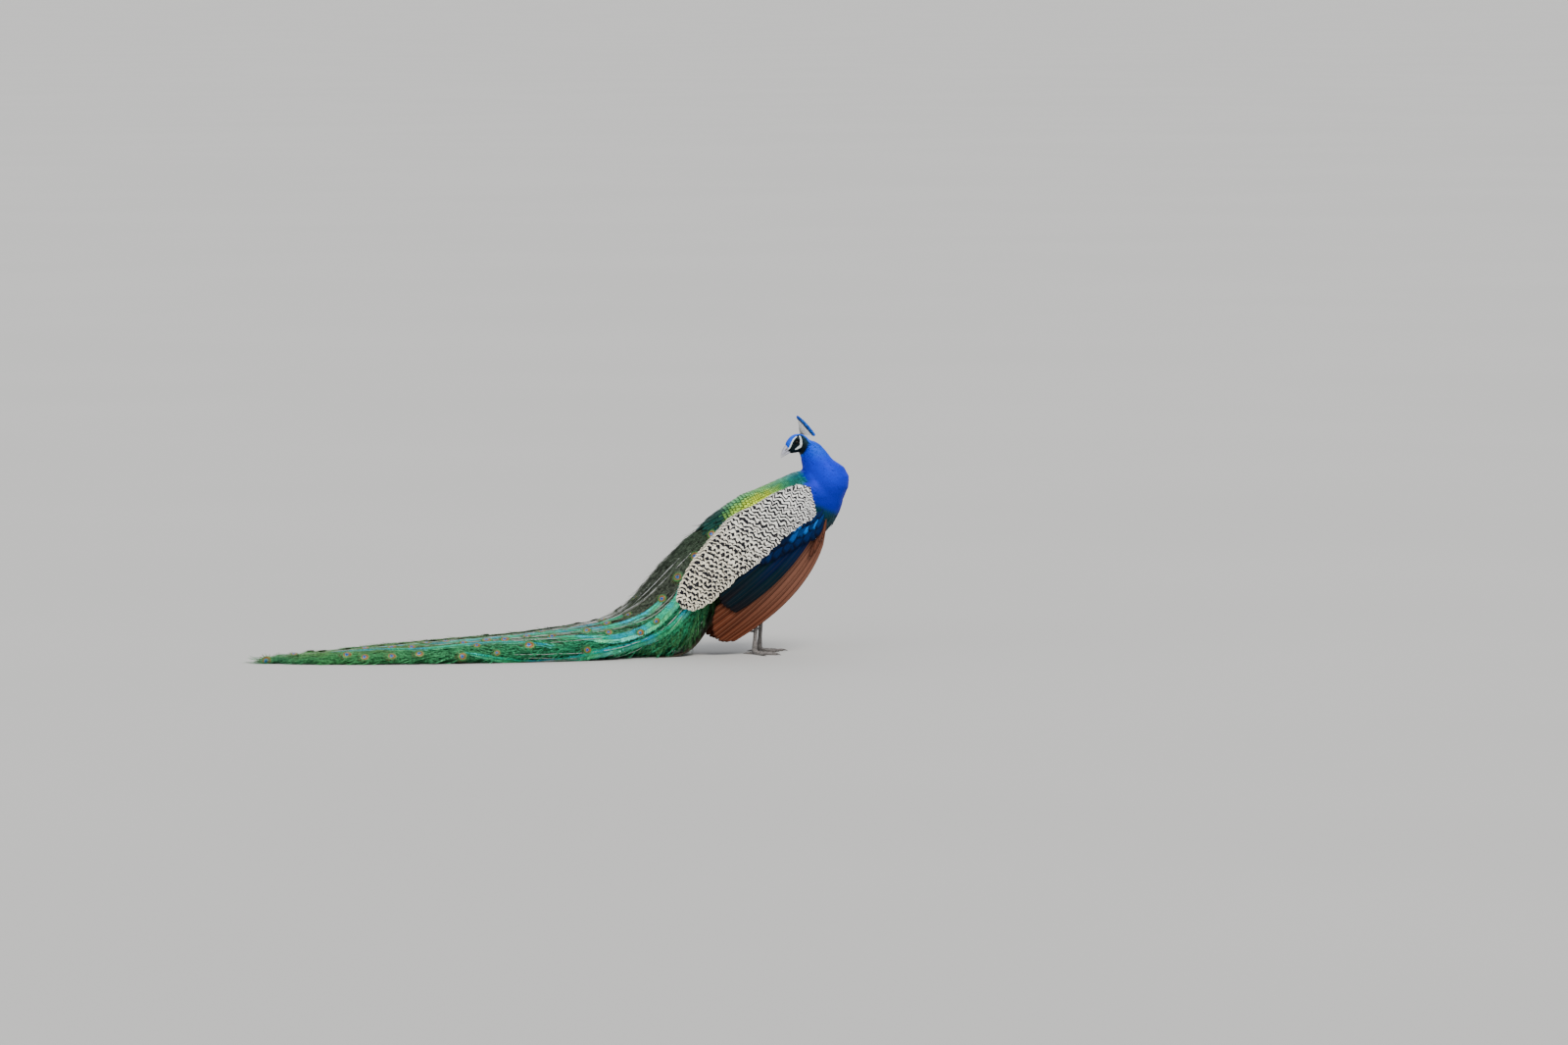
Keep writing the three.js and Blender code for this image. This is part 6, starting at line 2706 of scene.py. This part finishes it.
@dataclass(frozen=True)
class Room:
    """A plain pale floor, soft light and the camera."""

    azimuth: float = -12.0
    elevation: float = 4.5
    distance: float = 20.0
    frame_width: float = 4.32
    aim_right: float = 0.081
    aim_up: float = 0.3591
    floor_half: float = 400.0
    sensor: float = 36.0
    sky: tuple[float, float, float, float] = (0.86, 0.91, 1.0, 1.0)
    sky_strength: float = 0.7

    def build(self, stage: Stage) -> None:
        """Makes the floor, the lights and the camera."""
        self._floor()
        self._lights(stage.origin)
        self._camera(stage.origin)

    def _floor(self) -> None:
        """Makes the floor."""
        mesh = bpy.data.meshes.new("floor")
        half = self.floor_half
        corners = [(-half, -half, 0), (half, -half, 0), (half, half, 0), (-half, half, 0)]
        mesh.from_pydata(corners, [], [(0, 1, 2, 3)])
        n = Nodes("pale_floor")
        grey = n.mottled((0.50, 0.49, 0.47), n.noise(0.35, 2.0), 0.3, 0.7, (0.985, 1.015))
        n.set(Base_Color=grey, Roughness=0.9)
        mesh.materials.append(n.material)
        floor = bpy.data.objects.new("floor", mesh)
        bpy.context.scene.collection.objects.link(floor)
        floor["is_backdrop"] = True

    def _lights(self, origin: Vector) -> None:
        """Makes the sky and three soft lamps.

        Args:
            origin: The point that the bird is modelled about.
        """
        world = bpy.data.worlds.new("daylight")
        world.use_nodes = True
        light = world.node_tree.nodes["Background"].inputs
        light["Color"].default_value = self.sky
        light["Strength"].default_value = self.sky_strength
        bpy.context.scene.world = world
        lamps = (
            ("key", (1.2, -3.0, 4.2), 30.0, 3.1, (1.0, 0.97, 0.92)),
            ("fill", (-3.2, -2.6, 2.2), 60.0, 0.6, (0.92, 0.96, 1.0)),
            ("back", (0.4, 3.6, 3.0), 50.0, 0.6, (1.0, 0.98, 0.95)),
        )
        for name, place, softness, strength, colour in lamps:
            data = bpy.data.lights.new(name, "SUN")
            data.angle, data.energy, data.color = math.radians(softness), strength, colour
            lamp = bpy.data.objects.new(name, data)
            lamp.location = Vector(place) + origin
            lamp.rotation_euler = (-Vector(place)).to_track_quat("-Z", "Y").to_euler()
            bpy.context.scene.collection.objects.link(lamp)

    def _camera(self, origin: Vector) -> None:
        """Makes the camera.

        Args:
            origin: The point that the bird is modelled about.
        """
        a, e = math.radians(self.azimuth), math.radians(self.elevation)
        back = Vector((math.sin(a) * math.cos(e), -math.cos(a) * math.cos(e), math.sin(e)))
        right = Vector((math.cos(a), math.sin(a), 0))
        aim = origin + right * self.aim_right + back.cross(right) * self.aim_up
        data = bpy.data.cameras.new("camera")
        data.sensor_width = self.sensor
        data.lens = self.sensor * self.distance / self.frame_width
        data.clip_end = 1000.0
        camera = bpy.data.objects.new("camera", data)
        camera.location = aim + back * self.distance
        camera.rotation_euler = (-back).to_track_quat("-Z", "Y").to_euler()
        bpy.context.scene.collection.objects.link(camera)
        bpy.context.scene.camera = camera


def main() -> None:
    """Builds the bird and its room."""
    logging.basicConfig(level=logging.INFO, format="%(message)s")
    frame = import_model()
    low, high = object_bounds()
    stage = Stage(Vector((high.x - BREAST_REACH, 0, 0)), frame["nodes"])
    Room().build(stage)
    strewn, rows = FeatherTree(Sowing.STREWN), FeatherTree(Sowing.ROWS)
    body = Body(stage, strewn, rows)
    body.build()
    Face(stage).build()
    BackScales(stage, rows, body.surface).build()
    for name, side in (("right", -1), ("left", 1)):
        Wing(stage, rows, name, side).build()
    Leg(stage, "right", -1, -0.009, -0.041, -34.0).build()
    Leg(stage, "left", 1, 0.022, 0.041, -4.0).build()
    Tail(stage).build()
    Train(stage, strewn, rows).build()


if __name__ == "__main__":
    main()
